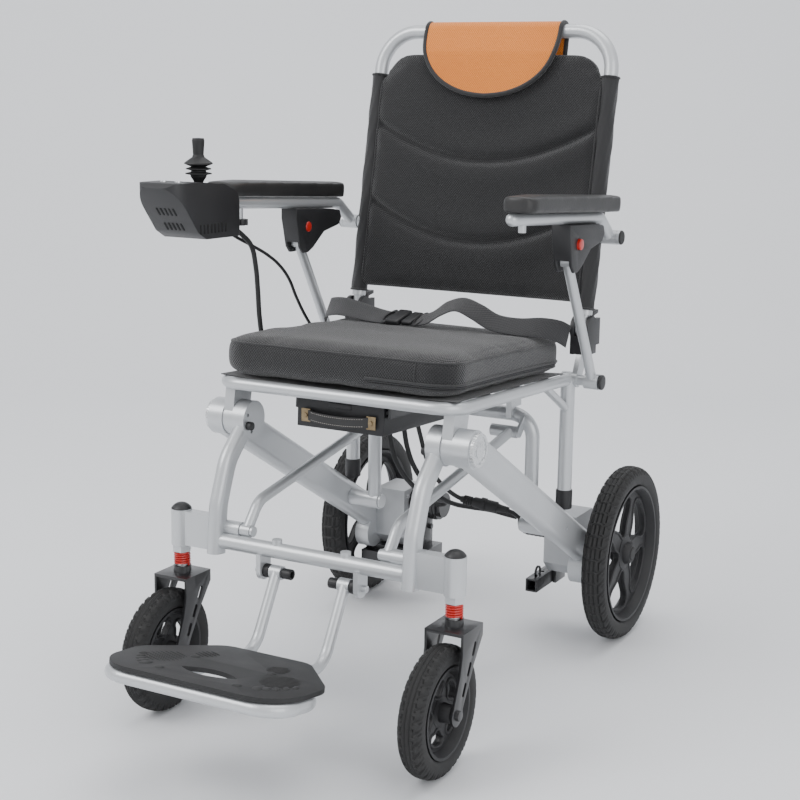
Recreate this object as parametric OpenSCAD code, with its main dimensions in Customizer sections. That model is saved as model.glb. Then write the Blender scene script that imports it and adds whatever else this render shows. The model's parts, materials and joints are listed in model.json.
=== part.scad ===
// Folding power wheelchair. Millimetres, +Z up, front towards -Y, origin on the floor
// at the centre of the footprint. Most pieces come in a left (-X) and right (+X) pair.

/* [Seat and frame] */
// distance between the centres of the two seat side tubes
seat_w = 428; // [380:1:520]
// height of the seat front tube's centre
seat_z = 527; // [500:1:560]
// radius of the seat tubes
seat_tube_r = 10; // [8:0.5:12]
// radius of the backrest and U-frame tubes
tube_r = 12.5; // [10:0.5:14]
// length of the backrest tubes above their hinge
back_len = 512; // [420:1:620]
// thickness of the seat cushion
cushion_t = 66; // [50:1:80]
// height of the hub that joins legs, beams and seat
hub_z = 464; // [450:1:475]
// radius of the hub pins
hub_pin_r = 8; // [6:0.5:10]
// thickness of the beams along X
beam_t = 28; // [22:1:34]
// depth of the beams across their length
beam_h = 60; // [50:1:70]
// thickness of the legs along X
leg_t = 24; // [20:1:28]

/* [Wheels] */
// radius of the front wheels
front_r = 100; // [85:1:110]
// width of the front tyres
front_w = 46; // [36:1:50]
// radius of the rear wheels
rear_r = 160; // [140:1:170]
// width of the rear tyres
rear_w = 51; // [40:1:60]
// radius of the front axle bolts
front_axle_r = 5; // [4:0.5:7]
// radius of the rear axles
rear_axle_r = 10; // [8:0.5:12]
// radius of the caster stems
stem_r = 9; // [7:0.5:10]

/* [Arms and footrest] */
// length of the armrest tubes ahead of their pivot
arm_len = 404; // [350:1:430]
// radius of the armrest tubes
arm_r = 10; // [8:0.5:11]
// width of the arm pads
pad_w = 56; // [44:1:60]
// half width of the footplate at its front
plate_half = 162; // [150:1:190]
// radius of the footrest tubes
foot_r = 10; // [8:0.5:11]

/* [Fits] */
// radial running clearance of pins in their bores
run = 0.05; // [0.02:0.01:0.1]
// side clearance between pieces that turn beside each other
side = 0.5; // [0.3:0.1:1]
// distance between soft parts and what they lie on
soft_gap = 0.4; // [0.3:0.1:1]

/* [Hidden] */
$fn = 48;
silver = [0.78, 0.79, 0.8];
black = [0.09, 0.09, 0.1];
rubber = [0.05, 0.05, 0.05];
orange = [0.95, 0.45, 0.12];
red = [0.8, 0.08, 0.06];

// places across the chair, right side
hx = seat_w / 2;
beam_x0 = hx - 7;
beam_x1 = beam_x0 + beam_t;
plate_t = 18;
plate_x0 = beam_x0 - side - plate_t;
leg_x1 = plate_x0 - side;
leg_x0 = leg_x1 - leg_t;
caster_x = hx + 33;
back_x = hx + 12;
arm_x = hx + 42;
pad_x = back_x + tube_r + 1.5 + pad_w / 2;
rear_x = beam_x1 + 8 + rear_w / 2;
strut_x = leg_x0 - 36;
uleg_x = leg_x0 - 6;

// places in the side view, as [y, z]
hub = [-148, hub_z];
rear_axle = [415.5, rear_r];
caster_y = -234.5;
front_axle = [caster_y - 47, front_r];
seat_front_y = -178;
seat_rear_y = 262;
seat_slope = 3;
function seat_at(y) = seat_z - (y - seat_front_y) * tan(seat_slope);
arm_post_foot = [seat_rear_y, seat_at(seat_rear_y)];
back_hinge = [288, seat_at(seat_rear_y) + 86];
back_lean = 10.7;
function back_at(d) = back_hinge + d * [sin(back_lean), cos(back_lean)];
arm_pivot = back_at(160);
arm_drop = 37.5;
arm_slope = 3.2;
arm_top = arm_pivot + [-54, arm_drop];
function arm_at(d) = arm_top + d * [-cos(arm_slope), sin(arm_slope)];
post_pin = arm_pivot + [-187.7, -25];
beam_angle = -30.1;
beam_len = 610;
function beam_at(d) = hub + d * [cos(beam_angle), sin(beam_angle)];
u_foot = beam_at(448.5);
u_top = [u_foot[0], 436];
strut_foot = [-223, 302];
strut_head = [212, 410];
foot_pivot = [caster_y - 2, 248];
cross_tube = [caster_y - 2, 283];
housing_z0 = 264.5;
housing_z1 = 324.5;
crown_z = front_r + 118.3;
plate_rear = [-356, 157];
plate_tilt = 8.7;
plate_len = 215;
cushion_z0 = seat_tube_r + 2 + 2 * soft_gap;

// ---- general shapes ----

function unit(v) = v / norm(v);
function perp(v) = unit(cross(v, abs(unit(v)[2]) < 0.9 ? [0, 0, 1] : [1, 0, 0]));
function p3(x, p) = [x, p[0], p[1]];

module both_sides() {
    children();
    mirror([1, 0, 0]) children();
}

module basis(o, ex, ey, ez) {
    multmatrix([[ex[0], ey[0], ez[0], o[0]], [ex[1], ey[1], ez[1], o[1]],
                [ex[2], ey[2], ez[2], o[2]], [0, 0, 0, 1]])
        children();
}

// cylinder from one point to another
module rod(a, b, r) {
    d = unit(b - a);
    n = perp(d);
    basis(a, n, cross(d, n), d) cylinder(h = norm(b - a), r = r);
}

// cylinder along X at a side-view point
module xrod(p, x0, x1, r) {
    translate([x0, p[0], p[1]]) rotate([0, 90, 0]) cylinder(h = x1 - x0, r = r);
}

// ring along X
module xring(p, x0, x1, r, bore) {
    difference() {
        xrod(p, x0, x1, r);
        xrod(p, x0 - 1, x1 + 1, bore);
    }
}

// side-view outline, given as (y, z), made into a plate from x0 to x1
module xplate(x0, x1) {
    translate([x0, 0, 0]) rotate([90, 0, 90]) linear_extrude(x1 - x0) children();
}

// flat oval section: w along the local X, h along the local Y
module oval(w, h) {
    r = min(w, h) / 2;
    square([w > h ? w - h : w, h > w ? h - w : h], center = true);
    if (w > h) for (s = [-1, 1]) translate([s * (w / 2 - r), 0]) circle(r);
    if (h > w) for (s = [-1, 1]) translate([0, s * (h / 2 - r)]) circle(r);
}

bend_lap = 1.5;
function turn_of(a, b, c) = acos(max(-1, min(1, unit(b - a) * unit(c - b))));
function cut_of(a, b, c, r) = r * tan(turn_of(a, b, c) / 2);

// a flat path with round bends: the second section runs straight and a little way into
// the bends, which are made of the first, slightly larger section
module sweep(pts, bend) {
    n = len(pts) > 2 ? unit(cross(pts[1] - pts[0], pts[2] - pts[1])) : perp(pts[1] - pts[0]);
    d = unit(pts[1] - pts[0]);
    basis(pts[0], cross(n, d), n, d) leg_of(pts, bend, n, 0, 0) {
        children(0);
        children(1);
    }
}

module leg_of(pts, bend, n, i, t0) {
    more = i < len(pts) - 2;
    a = pts[i];
    b = pts[i + 1];
    t1 = more ? cut_of(a, b, pts[i + 2], bend) : 0;
    run_z = norm(b - a) - t0 - t1;
    z0 = i > 0 ? -bend_lap : 0;
    translate([0, 0, z0]) linear_extrude(run_z - z0 + (more ? bend_lap : 0)) children(1);
    if (more) {
        turn = turn_of(a, b, pts[i + 2]);
        way = cross(b - a, pts[i + 2] - b) * n > 0 ? 1 : -1;
        translate([way * bend, 0, run_z]) {
            mirror([way > 0 ? 1 : 0, 0, 0]) rotate([90, 0, 0])
                rotate_extrude(angle = turn) translate([bend, 0]) children(0);
            rotate([0, way * turn, 0]) translate([-way * bend, 0, 0])
                leg_of(pts, bend, n, i + 1, t1) {
                    children(0);
                    children(1);
                }
        }
    }
}

module bent_tube(pts, r, bend) {
    sweep(pts, bend) {
        circle(r);
        circle(r - 0.1);
    }
}

// smooth curve through points chosen by hand
function curve(a, b, c, d, t) =
    0.5 * (2 * b + (c - a) * t + (2 * a - 5 * b + 4 * c - d) * t * t + (3 * b - a - 3 * c + d) * t * t * t);
function route(p, n) = concat(
    [for (i = [0:len(p) - 2]) for (k = [0:n - 1])
        curve(p[max(i - 1, 0)], p[i], p[i + 1], p[min(i + 2, len(p) - 1)], k / n)],
    [p[len(p) - 1]]);

// cord of a given radius along a route; ref is never parallel to it
module cord(p, r, n = 3, sides = 10, ref = [1, 0, 0]) {
    q = route(p, n);
    m = len(q);
    rings = [for (i = [0:m - 1])
        let (t = unit(q[min(i + 1, m - 1)] - q[max(i - 1, 0)]), u = unit(cross(t, ref)), v = cross(t, u))
            for (k = [0:sides - 1]) q[i] + r * (cos(360 * k / sides) * u + sin(360 * k / sides) * v)];
    walls = [for (i = [0:m - 2]) for (k = [0:sides - 1])
        [i * sides + k, (i + 1) * sides + k, (i + 1) * sides + (k + 1) % sides, i * sides + (k + 1) % sides]];
    polyhedron(rings, concat([[for (k = [0:sides - 1]) k]], walls,
                             [[for (k = [sides - 1:-1:0]) (m - 1) * sides + k]]));
}

// cord routes, chosen by hand
joystick_route = [[-250, -102, 769], [-250, -82, 764], [-247, -55, 749], [-244, -35, 730], [-242, -26, 698],
                  [-241, -21, 655], [-240, -18, 610], [-239, -10, 570], [-237, 4, 535], [-232, 13, 511],
                  [-213, 20, 490], [-172, 26, 483], [-130, 34, 480], [-100, 40, 480]];
branch_route = [[-264, -102, 762], [-264, -80, 758], [-261, -50, 744], [-257, -10, 727], [-253, 30, 708],
                [-251, 62, 688], [-250, 90, 662], [-249, 112, 628], [-247, 140, 590], [-244, 180, 548],
                [-240, 212, 520], [-232, 228, 504], [-222.5, 232, 496]];
battery_route = [[-62, 92.2, 482], [-63, 108, 474], [-69, 128, 440], [-72, 138, 405], [-68, 142, 370],
                 [-58, 150, 335], [-44, 170, 302], [-34, 205, 274], [-30, 250, 256], [-40, 300, 240],
                 [-58, 334, 224], [-72, 346, 218], [-84, 350, 215]];
battery_route_b = [[-42, 92.2, 482], [-43, 112, 474], [-48, 138, 438], [-50, 152, 405], [-46, 158, 370],
                   [-36, 166, 335], [-20, 182, 302], [-4, 205, 276], [6, 240, 256], [22, 280, 242],
                   [46, 319, 230], [68, 343, 219], [84, 350, 215]];
link_route = [[-20, 92.2, 482], [-21, 114, 474], [-24, 144, 434], [-22, 160, 396], [-14, 172, 350],
              [0, 190, 310], [22, 206, 284], [40, 213, 274]];
link_route_b = [[121, 221, 265], [127, 236, 257], [129, 258, 244], [132, 288, 227], [139, 314, 214],
                [147, 327, 208]];

// ---- rear frame: beams, motors, axles ----

module beams() {
    color(silver) both_sides() difference() {
        union() {
            sweep([p3(beam_x0 + beam_t / 2, hub), p3(beam_x0 + beam_t / 2, beam_at(beam_len))], 10) {
                oval(beam_h, beam_t);
                oval(beam_h, beam_t);
            }
            xrod(hub, beam_x0, beam_x1, 30);
            xrod(rear_axle, beam_x0, beam_x1, 40);
            xrod(rear_axle - [84, 12], beam_x0, beam_x1, 30);
            // pin that the U-frame turns on
            xrod(u_foot, uleg_x - tube_r, beam_x0 + 2, 8);
            xrod(u_foot, uleg_x - tube_r - side - 4, uleg_x - tube_r - side, 13);
            xrod(u_foot, uleg_x - tube_r - side, uleg_x - tube_r + 1, 8);
        }
        xrod(hub, beam_x0 - 1, beam_x1 + 1, hub_pin_r);
        xrod(rear_axle, beam_x0 - 1, beam_x1 + 1, rear_axle_r);
        xrod(beam_at(430), beam_x1 - 3, beam_x1 + 1, 4);
    }
}

module hub_caps() {
    color(silver) both_sides() {
        // pin through beam, seat plate and leg
        xrod(hub, leg_x0 + 3, beam_x1 + 2, hub_pin_r);
        difference() {
            xrod(hub, beam_x1, beam_x1 + 7, 26);
            xrod(hub, beam_x1 + 5, beam_x1 + 8, 21);
            for (a = [0:12:348])
                xrod(hub + 26.4 * [cos(a), sin(a)], beam_x1 + 1.5, beam_x1 + 8, 1.1);
        }
        xrod(hub, beam_x1 + 5, beam_x1 + 6.5, 12);
    }
}

gear_x0 = beam_x0 - 61;
gear_y = [335, 446];
gear_z = [122, 236];
motor_axis = [382, 206];
motor_r = 29;
motor_end = leg_x0 - 82;

module gearboxes() {
    color(silver) both_sides() {
        xplate(gear_x0, beam_x0) difference() {
            translate([gear_y[0], gear_z[0]]) square([gear_y[1] - gear_y[0], gear_z[1] - gear_z[0]]);
            translate([gear_y[1], gear_z[1]]) rotate(45) square(46, center = true);
            translate([gear_y[0], gear_z[0]]) rotate(45) square(30, center = true);
            translate(rear_axle) circle(rear_axle_r);
        }
        // axle stub that carries the wheel
        difference() {
            xrod(rear_axle, gear_x0 + 4, rear_x + 6, rear_axle_r);
            xrod(rear_axle, rear_x - 10, rear_x + 7, 3);
        }
        for (p = [[350, 145], [386, 145], [350, 222], [412, 228]])
            xrod(p, gear_x0 - 2.5, gear_x0, 4);
    }
}

module motors() {
    color(black) {
        both_sides() {
            xrod(motor_axis, motor_end + 8, gear_x0, motor_r);
            xrod(motor_axis, motor_end, motor_end + 8, motor_r - 5);
            for (x = [motor_end + 14:8:gear_x0 - 10])
                xring(motor_axis, x, x + 3, motor_r + 1.5, motor_r - 0.01);
        }
        // power unit that hangs from the left gearbox
        xplate(-beam_x1 + 3, -gear_x0 - 2) union() {
            translate([340, 80]) square([90, 39]);
            translate([322, 88]) square([19, 22]);
        }
        translate([-beam_x0 + 8, 360, 118]) cube([45, 50, gear_z[0] - 118.3]);
    }
}

module hitch_brackets() {
    hx1 = gear_x0 - 0.2;
    color(black) both_sides() {
        xplate(hx1 - 6, hx1) difference() {
            translate([398, 84]) square([46, 92]);
            translate([430, 144]) circle(3.3);
        }
        difference() {
            translate([hx1 - 28, 322, 86]) cube([22, 122, 24]);
            translate([hx1 - 25, 321, 89]) cube([16, 100, 18]);
            for (y = [345, 375]) translate([hx1 - 17, y, 80]) cylinder(h = 40, r = 3.5);
        }
        xrod([430, 144], hx1 - 12, hx1 - 6, 5.5);
        xring([352, 116], hx1 - 19, hx1 - 15.5, 12, 9);
    }
}

module motor_cables() {
    color(rubber) {
        cord(battery_route, 4.5, 2);
        cord(battery_route_b, 4.5, 2);
        cord(link_route, 4, 2, 8);
        cord(link_route_b, 4, 2, 8, [0, 0, 1]);
        // fat connector between the two lengths
        rod([36, 211, 276], [78, 216, 271], 9);
        rod([79, 216, 271], [124, 222, 265], 10.5);
        rod([76, 215.8, 271.2], [81, 216.2, 270.8], 12);
    }
}

// ---- wheels ----

module tyre(p, x, r, w, rim) {
    h = w / 2;
    color(rubber) translate([x, p[0], p[1]]) rotate([0, 90, 0]) rotate_extrude()
        polygon([[rim, -h * 0.62], [r - 14, -h * 0.86], [r - 7, -h * 0.8], [r - 1.5, -h * 0.5], [r, -h * 0.22],
                 [r, h * 0.22], [r - 1.5, h * 0.5], [r - 7, h * 0.8], [r - 14, h * 0.86], [rim, h * 0.62]]);
}

// plastic rim with curved spokes in pairs
module rim(p, x, r, w, hub_r, hub_w, bore, spokes) {
    color(black) translate([x, p[0], p[1]]) rotate([0, 90, 0]) difference() {
        union() {
            difference() {
                cylinder(h = w, r = r, center = true);
                cylinder(h = w + 2, r = r - 9, center = true);
            }
            cylinder(h = hub_w, r = hub_r, center = true);
            for (k = [0:spokes - 1]) rotate(k * 360 / spokes) for (s = [-1, 1])
                translate([hub_r - 5, s * 2 - 4, -w * 0.32])
                    rotate(s * 9) cube([r - hub_r + 1, 8, w * 0.64]);
        }
        cylinder(h = hub_w + 2, r = bore + run, center = true);
    }
}

rear_rim_r = rear_r - 40;
front_rim_r = front_r - 34;

module tyre_rear_left() { tyre(rear_axle, -rear_x, rear_r, rear_w, rear_rim_r + 0.05); }
module tyre_rear_right() { tyre(rear_axle, rear_x, rear_r, rear_w, rear_rim_r + 0.05); }
module rear_rim(s) {
    rim(rear_axle, s * rear_x, rear_rim_r, rear_w * 0.6, 27, rear_w - 12, rear_axle_r, 5);
    color(silver) difference() {
        xrod(rear_axle, s > 0 ? rear_x + 19.6 : -rear_x - 26, s > 0 ? rear_x + 26 : -rear_x - 19.6, 21);
        xrod(rear_axle, s > 0 ? rear_x + 24 : -rear_x - 27, s > 0 ? rear_x + 27 : -rear_x - 24, 15);
    }
}
module rim_rear_left() { rear_rim(-1); }
module rim_rear_right() { rear_rim(1); }

module tyre_front_left() { tyre(front_axle, -caster_x, front_r, front_w, front_rim_r + 0.05); }
module tyre_front_right() { tyre(front_axle, caster_x, front_r, front_w, front_rim_r + 0.05); }
module front_rim(s) { rim(front_axle, s * caster_x, front_rim_r, front_w * 0.6, 17, 50, front_axle_r, 5); }
module rim_front_left() { front_rim(-1); }
module rim_front_right() { front_rim(1); }

// ---- front frame: legs, cross tube, caster housings ----

leg_bend = 70;
leg_path = [hub, [-206, 408], [-232, 340], [-240, 262]];

module front_frame() {
    leg_mid = (leg_x0 + leg_x1) / 2;
    color(silver) {
        both_sides() difference() {
            union() {
                sweep([for (p = leg_path) p3(leg_mid, p)], leg_bend) {
                    oval(34.2, leg_t);
                    oval(34, leg_t - 0.2);
                }
                xrod(hub, leg_x0, leg_x1, 31);
                // arm and housing of the caster
                translate([leg_x1 - 4, caster_y - 10, housing_z0 + 2])
                    cube([caster_x - leg_x1, 20, housing_z1 - housing_z0 - 4]);
                translate([caster_x, caster_y, housing_z0])
                    cylinder(h = housing_z1 - housing_z0, r = 17);
                // stub and bolt that carry the strut
                xrod(strut_foot, strut_x + 9 + side, leg_x0 + 2, 12);
                xrod(strut_foot, strut_x - 9 - side - 4, strut_x + 10, 5);
                xrod(strut_foot, strut_x - 9 - side - 4, strut_x - 9 - side, 8.5);
            }
            xrod(hub, leg_x0 + 2, leg_x1 + 1, hub_pin_r + run);
            translate([caster_x, caster_y, housing_z0 - 1])
                cylinder(h = housing_z1 - housing_z0 - 5, r = stem_r + run);
            for (a = [150, 200, 250])
                xrod(hub + 20 * [cos(a), sin(a)], leg_x0 - 1, leg_x0 + 14, 3 + run);
        }
        difference() {
            xrod(cross_tube, -leg_x0 - 2, leg_x0 + 2, tube_r);
            both_sides() xrod(foot_pivot, 50, 100, foot_r + 2);
        }
        for (s = [-1, 1]) {
            // small posts on the cross tube
            translate([s * 62, cross_tube[0], cross_tube[1] + tube_r - 3]) cylinder(h = 9, r = 8);
            // hanging tabs that carry the footrest pivot
            xplate(s > 0 ? 84 : -92, s > 0 ? 92 : -84) difference() {
                union() {
                    translate(foot_pivot) circle(15);
                    translate(foot_pivot + [-15, 0]) square([30, cross_tube[1] - foot_pivot[1] - 7]);
                }
                translate(foot_pivot) circle(5.5);
            }
            xrod(foot_pivot, s > 0 ? 46 : -84 - 1, s > 0 ? 84 + 1 : -46, 5.5);
            xrod(foot_pivot, s > 0 ? 80 : -100, s > 0 ? 100 : -80, 5.5);
        }
        // nuts under the housings
        both_sides() translate([caster_x, caster_y, housing_z0 - 11]) difference() {
            cylinder(h = 11, r = 16, $fn = 6);
            translate([0, 0, -1]) cylinder(h = 13, r = stem_r + run);
        }
    }
}

module caster_caps() {
    color(black) both_sides() {
        translate([caster_x, caster_y, housing_z1]) intersection() {
            translate([0, 0, -9]) sphere(r = 19.2);
            cylinder(h = 12, r = 17);
        }
        // footrest spacers and knobs
        xring(foot_pivot, 62 + foot_r + 2 * side, 84, 11, 5.5 + run);
        xring(foot_pivot, 34, 62 - foot_r - 2 * side, 8.5, 5.5 + run);
    }
}

stem_top = housing_z1 - 27;
spring_z0 = crown_z + 11;
spring_z1 = housing_z0 - 11;

module stem(s) {
    color(silver) translate([s * caster_x, caster_y, crown_z - 8])
        cylinder(h = stem_top - crown_z + 8, r = stem_r);
}
module stem_left() { stem(-1); }
module stem_right() { stem(1); }

spring_turns = 5;
spring_wire = 1.9;
spring_mid = 12;

module spring(s) {
    steps = 12;
    rise = spring_z1 - spring_z0 - 2 * spring_wire - 0.6;
    coil = [for (i = [0:spring_turns * steps]) let (a = 360 * i / steps)
        [s * caster_x + spring_mid * cos(a), caster_y + spring_mid * sin(a),
         spring_z0 + 0.3 + spring_wire + rise * i / (spring_turns * steps)]];
    color(red) cord(coil, spring_wire, 1, 8, [0, 0, 1]);
}
module spring_left() { spring(-1); }
module spring_right() { spring(1); }

fork_gap = 56;
fork_t = 4;

// fork arm outline in the side view, from crown to axle
module fork_outline() {
    a = front_axle;
    top = crown_z - 1;
    polygon([[caster_y - 33, top], [caster_y + 33, top], [caster_y + 33, top - 18], [caster_y + 4, top - 56],
             [a[0] + 17, a[1] + 4], [a[0] + 12, a[1] - 12], [a[0] - 12, a[1] - 12], [a[0] - 16, a[1] + 2],
             [caster_y - 40, top - 60], [caster_y - 33, top - 30]]);
    translate(a) circle(17);
}

module fork(s) {
    color(black) difference() {
        union() {
            for (m = [-1, 1]) difference() {
                xplate(s * caster_x + m * (fork_gap / 2 + fork_t / 2) - fork_t / 2,
                       s * caster_x + m * (fork_gap / 2 + fork_t / 2) + fork_t / 2)
                    difference() {
                        fork_outline();
                        for (k = [0:2])
                            translate([caster_y + 4 - 15 * k, crown_z - 32 - 27 * k]) rotate(-26) oval(7, 22);
                    }
            }
            translate([s * caster_x - fork_gap / 2 - fork_t, caster_y - 33, crown_z - 5])
                cube([fork_gap + 2 * fork_t, 66, 5]);
            translate([s * caster_x, caster_y, crown_z - 0.5]) cylinder(h = 11.5, r = 14.5);
        }
        translate([s * caster_x, caster_y, crown_z - 9]) cylinder(h = 30, r = stem_r + run);
    }
    color(silver) {
        xrod(front_axle, s * caster_x - fork_gap / 2 - fork_t - 4, s * caster_x + fork_gap / 2 + fork_t + 4,
             front_axle_r);
        for (m = [-1, 1]) {
            x0 = s * caster_x + m * (fork_gap / 2 + fork_t + 2.5) - 2.5;
            xrod(front_axle, x0, x0 + 5, 8);
        }
    }
}
module fork_left() { fork(-1); }
module fork_right() { fork(1); }

// ---- footrest ----

// places the footplate's own plane, y measured forwards from its rear edge
module on_plate() {
    translate([0, plate_rear[0], plate_rear[1]]) rotate([-plate_tilt, 0, 0]) children();
}

function on_plate_pt(x, y, z) = [x, plate_rear[0] - y * cos(plate_tilt) + z * sin(plate_tilt),
                                 plate_rear[1] + y * sin(plate_tilt) + z * cos(plate_tilt)];

plate_path = [[-52, -foot_r], [-plate_half * 0.42, -foot_r], [-plate_half + 8, -130],
              [-plate_half + 14, -plate_len + foot_r], [plate_half - 14, -plate_len + foot_r],
              [plate_half - 8, -130], [plate_half * 0.42, -foot_r], [52, -foot_r]];

module footrest_frame() {
    drop = -foot_r - 1;
    color(silver) {
        on_plate() translate([0, 0, drop])
            bent_tube([for (p = plate_path) [p[0], p[1], 0]], foot_r, 42);
        on_plate() xrod([-foot_r, drop], -60, 60, foot_r - 1);
        for (s = [-1, 1]) difference() {
            union() {
                bent_tube([p3(s * 62, foot_pivot + [0, 4]), on_plate_pt(s * 62, -56, drop),
                           on_plate_pt(s * 62, plate_len - foot_r, drop)], foot_r - 1, 45);
                xrod(foot_pivot, s * 62 - foot_r, s * 62 + foot_r, foot_r + 1);
            }
            xrod(foot_pivot, s * 62 - foot_r - 1, s * 62 + foot_r + 1, 5.5 + run);
        }
    }
}

module plate_outline(grow) {
    hull() for (s = [-1, 1]) {
        translate([s * plate_half * 0.35, -38 + grow]) circle(38);
        translate([s * (plate_half - 46), -118]) circle(46);
        translate([s * (plate_half - 66), -plate_len + 64]) circle(64);
    }
}

module footplate() {
    color(black) on_plate() {
        difference() {
            linear_extrude(7) plate_outline(0);
            // lens-shaped hand hole
            translate([0, -152, -1]) linear_extrude(10) intersection() {
                translate([0, -59]) circle(76, $fn = 96);
                translate([0, 59]) circle(76, $fn = 96);
            }
        }
    }
    color(silver) on_plate() for (s = [-1, 1]) for (y = [-94, -180])
        translate([s * 66, y, 7]) cylinder(h = 1.5, r = 5);
}

// ---- U-frame and struts ----

module support_frame() {
    color(silver) difference() {
        union() {
            bent_tube([p3(-uleg_x, u_foot), p3(-uleg_x, u_top), p3(uleg_x, u_top), p3(uleg_x, u_foot)],
                      tube_r, 40);
            both_sides() {
                xrod(u_foot, uleg_x - tube_r, beam_x0 - side, 15);
                // lug beside the strut head
                xplate(strut_x + 13, strut_x + 18) hull() {
                    translate(strut_head) circle(9);
                    translate(u_top - [4, 4]) circle(8);
                }
            }
        }
        both_sides() xrod(u_foot, uleg_x - tube_r - 1, beam_x0, 8 + run);
    }
}

module strut(s) {
    x = s * strut_x;
    color(silver) {
        difference() {
            union() {
                bent_tube([p3(x, strut_foot), [x, -190, 343], p3(x, strut_head)], 9, 40);
                xrod(strut_foot, x - 9, x + 9, 10);
                xrod(strut_head, s > 0 ? x - 36 : x - 12.5, s > 0 ? x + 12.5 : x + 36, 10.5);
            }
            xrod(strut_foot, x - 10, x + 10, 5 + run);
        }
    }
}
module strut_left() { strut(-1); }
module strut_right() { strut(1); }

// ---- seat ----

seat_bend = 42;
hook_x = leg_x0 - 44;

module seat_frame() {
    color(silver) {
        difference() {
            union() {
                bent_tube([p3(-hx, arm_post_foot), p3(-hx, [seat_front_y, seat_z]),
                           p3(hx, [seat_front_y, seat_z]), p3(hx, arm_post_foot)], seat_tube_r, seat_bend);
                for (y = [-40, 70, 190])
                    xrod([y, seat_at(y)], -hx, hx, 8);
                both_sides() {
                    // plates that hang on the hub pins
                    xplate(plate_x0, plate_x0 + plate_t) union() {
                        translate(hub) circle(28);
                        polygon([hub + [-24, 12], hub + [-16, 58], hub + [34, 56], hub + [24, 14]]);
                    }
                    // sleeve at the rear end and the pin that the arm post turns on
                    xrod(arm_post_foot, hx - 13, back_x + 4, 13);
                    xrod(arm_post_foot, back_x, arm_x + 14, 9);
                    // plate up to the backrest hinge
                    xplate(back_x - 5, back_x + 4) hull() {
                        translate(arm_post_foot + [2, 0]) circle(12);
                        translate(back_hinge + [3, -32]) circle(14);
                    }
                    // stay down to the beam, with its brace
                    rod(p3(hx, [256, seat_at(256)]), [hx, 256, stay_z + 34], tube_r);
                    rod(p3(hx, [150, seat_at(150)]), [hx, 253, seat_at(256) - 52], 7);
                    // saddle that drops over the U-frame
                    xplate(hook_x - 5, hook_x + 5) difference() {
                        translate(u_top - [21, 4]) square([42, seat_at(u_top[0]) - u_top[1] + 4]);
                        translate(u_top) circle(tube_r + 0.3);
                        translate(u_top + [0, -30]) square([60, 30 + tube_r + 0.3]);
                    }
                    rod([hook_x, 190, seat_at(190)], [hook_x, u_top[0] + 12, seat_at(u_top[0]) - 7], 6);
                }
            }
            both_sides() xrod(hub, plate_x0 - 1, plate_x0 + plate_t + 1, hub_pin_r + run);
        }
    }
}

stay_z = hub_z + (256 - tube_r - hub[0]) * tan(beam_angle) + beam_h / 2 / cos(beam_angle) + 3;

module stay_tips() {
    color(black) both_sides() {
        translate([hx, 256, stay_z]) cylinder(h = 34, r = tube_r + 2);
        xrod(arm_post_foot, arm_x + 14, arm_x + 20, 13);
    }
}

// slab that follows the seat's slope, from z0 to z1 above the tubes' plane
module seat_slab(half, y0, y1, z0, z1, corner) {
    translate([0, seat_front_y, seat_z]) rotate([-seat_slope, 0, 0])
        translate([0, 0, z0]) linear_extrude(z1 - z0) hull() for (s = [-1, 1]) {
            translate([s * (half - corner), y0 - seat_front_y + corner]) circle(corner);
            translate([s * (half - corner), y1 - seat_front_y - corner]) circle(corner);
        }
}

module seat_sling() {
    color(black) seat_slab(hx - 2, seat_front_y + 4, 250, seat_tube_r, seat_tube_r + 2, 30);
}

module seat_cushion() {
    color(black) seat_slab(hx + 9, seat_front_y - 19, 258, cushion_z0, cushion_z0 + cushion_t, 30);
}

tray_top = -9;

module battery_tray() {
    color(black) translate([0, seat_front_y, seat_z]) rotate([-seat_slope, 0, 0]) {
        translate([-95, 26, tray_top - 3]) cube([190, 246, 3]);
        for (s = [-1, 1]) {
            translate([s > 0 ? 82 : -86, 34, tray_top - 20]) cube([4, 236, 18]);
            translate([s > 0 ? 79 : -86, 34, tray_top - 23]) cube([7, 236, 3.5]);
        }
        translate([-86, 262, tray_top - 40]) cube([172, 9, 38]);
    }
}

battery_w = 156;
battery_h = 47;
battery_y = [28, 258];

module battery() {
    z1 = tray_top - 3 - side;
    color(black) translate([0, seat_front_y, seat_z]) rotate([-seat_slope, 0, 0]) {
        translate([-battery_w / 2, battery_y[0], z1 - battery_h])
            cube([battery_w, battery_y[1] - battery_y[0], battery_h]);
        for (s = [-1, 1])
            translate([s > 0 ? battery_w / 2 - 1 : -battery_w / 2 - 3, battery_y[0] + 8, z1 - 14])
                cube([4, 215, 6]);
        translate([-20, battery_y[0] - 1.5, z1 - 12]) cube([40, 3, 8]);
    }
}

module battery_handle() {
    z = tray_top - 3 - side - battery_h / 2;
    color([0.15, 0.13, 0.12]) translate([0, seat_front_y, seat_z]) rotate([-seat_slope, 0, 0])
        translate([0, battery_y[0], z]) {
        difference() {
            translate([-66, -14, -13]) cube([132, 14, 20]);
            translate([-50, -11, -14]) cube([100, 12, 22]);
        }
        for (s = [-1, 1]) translate([s * 59, -14, -2]) rotate([90, 0, 0]) cylinder(h = 2, r = 5);
    }
}

// ---- backrest ----

hinge_eye_r = 15;
lever_at = back_hinge + [25, 7];

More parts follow.
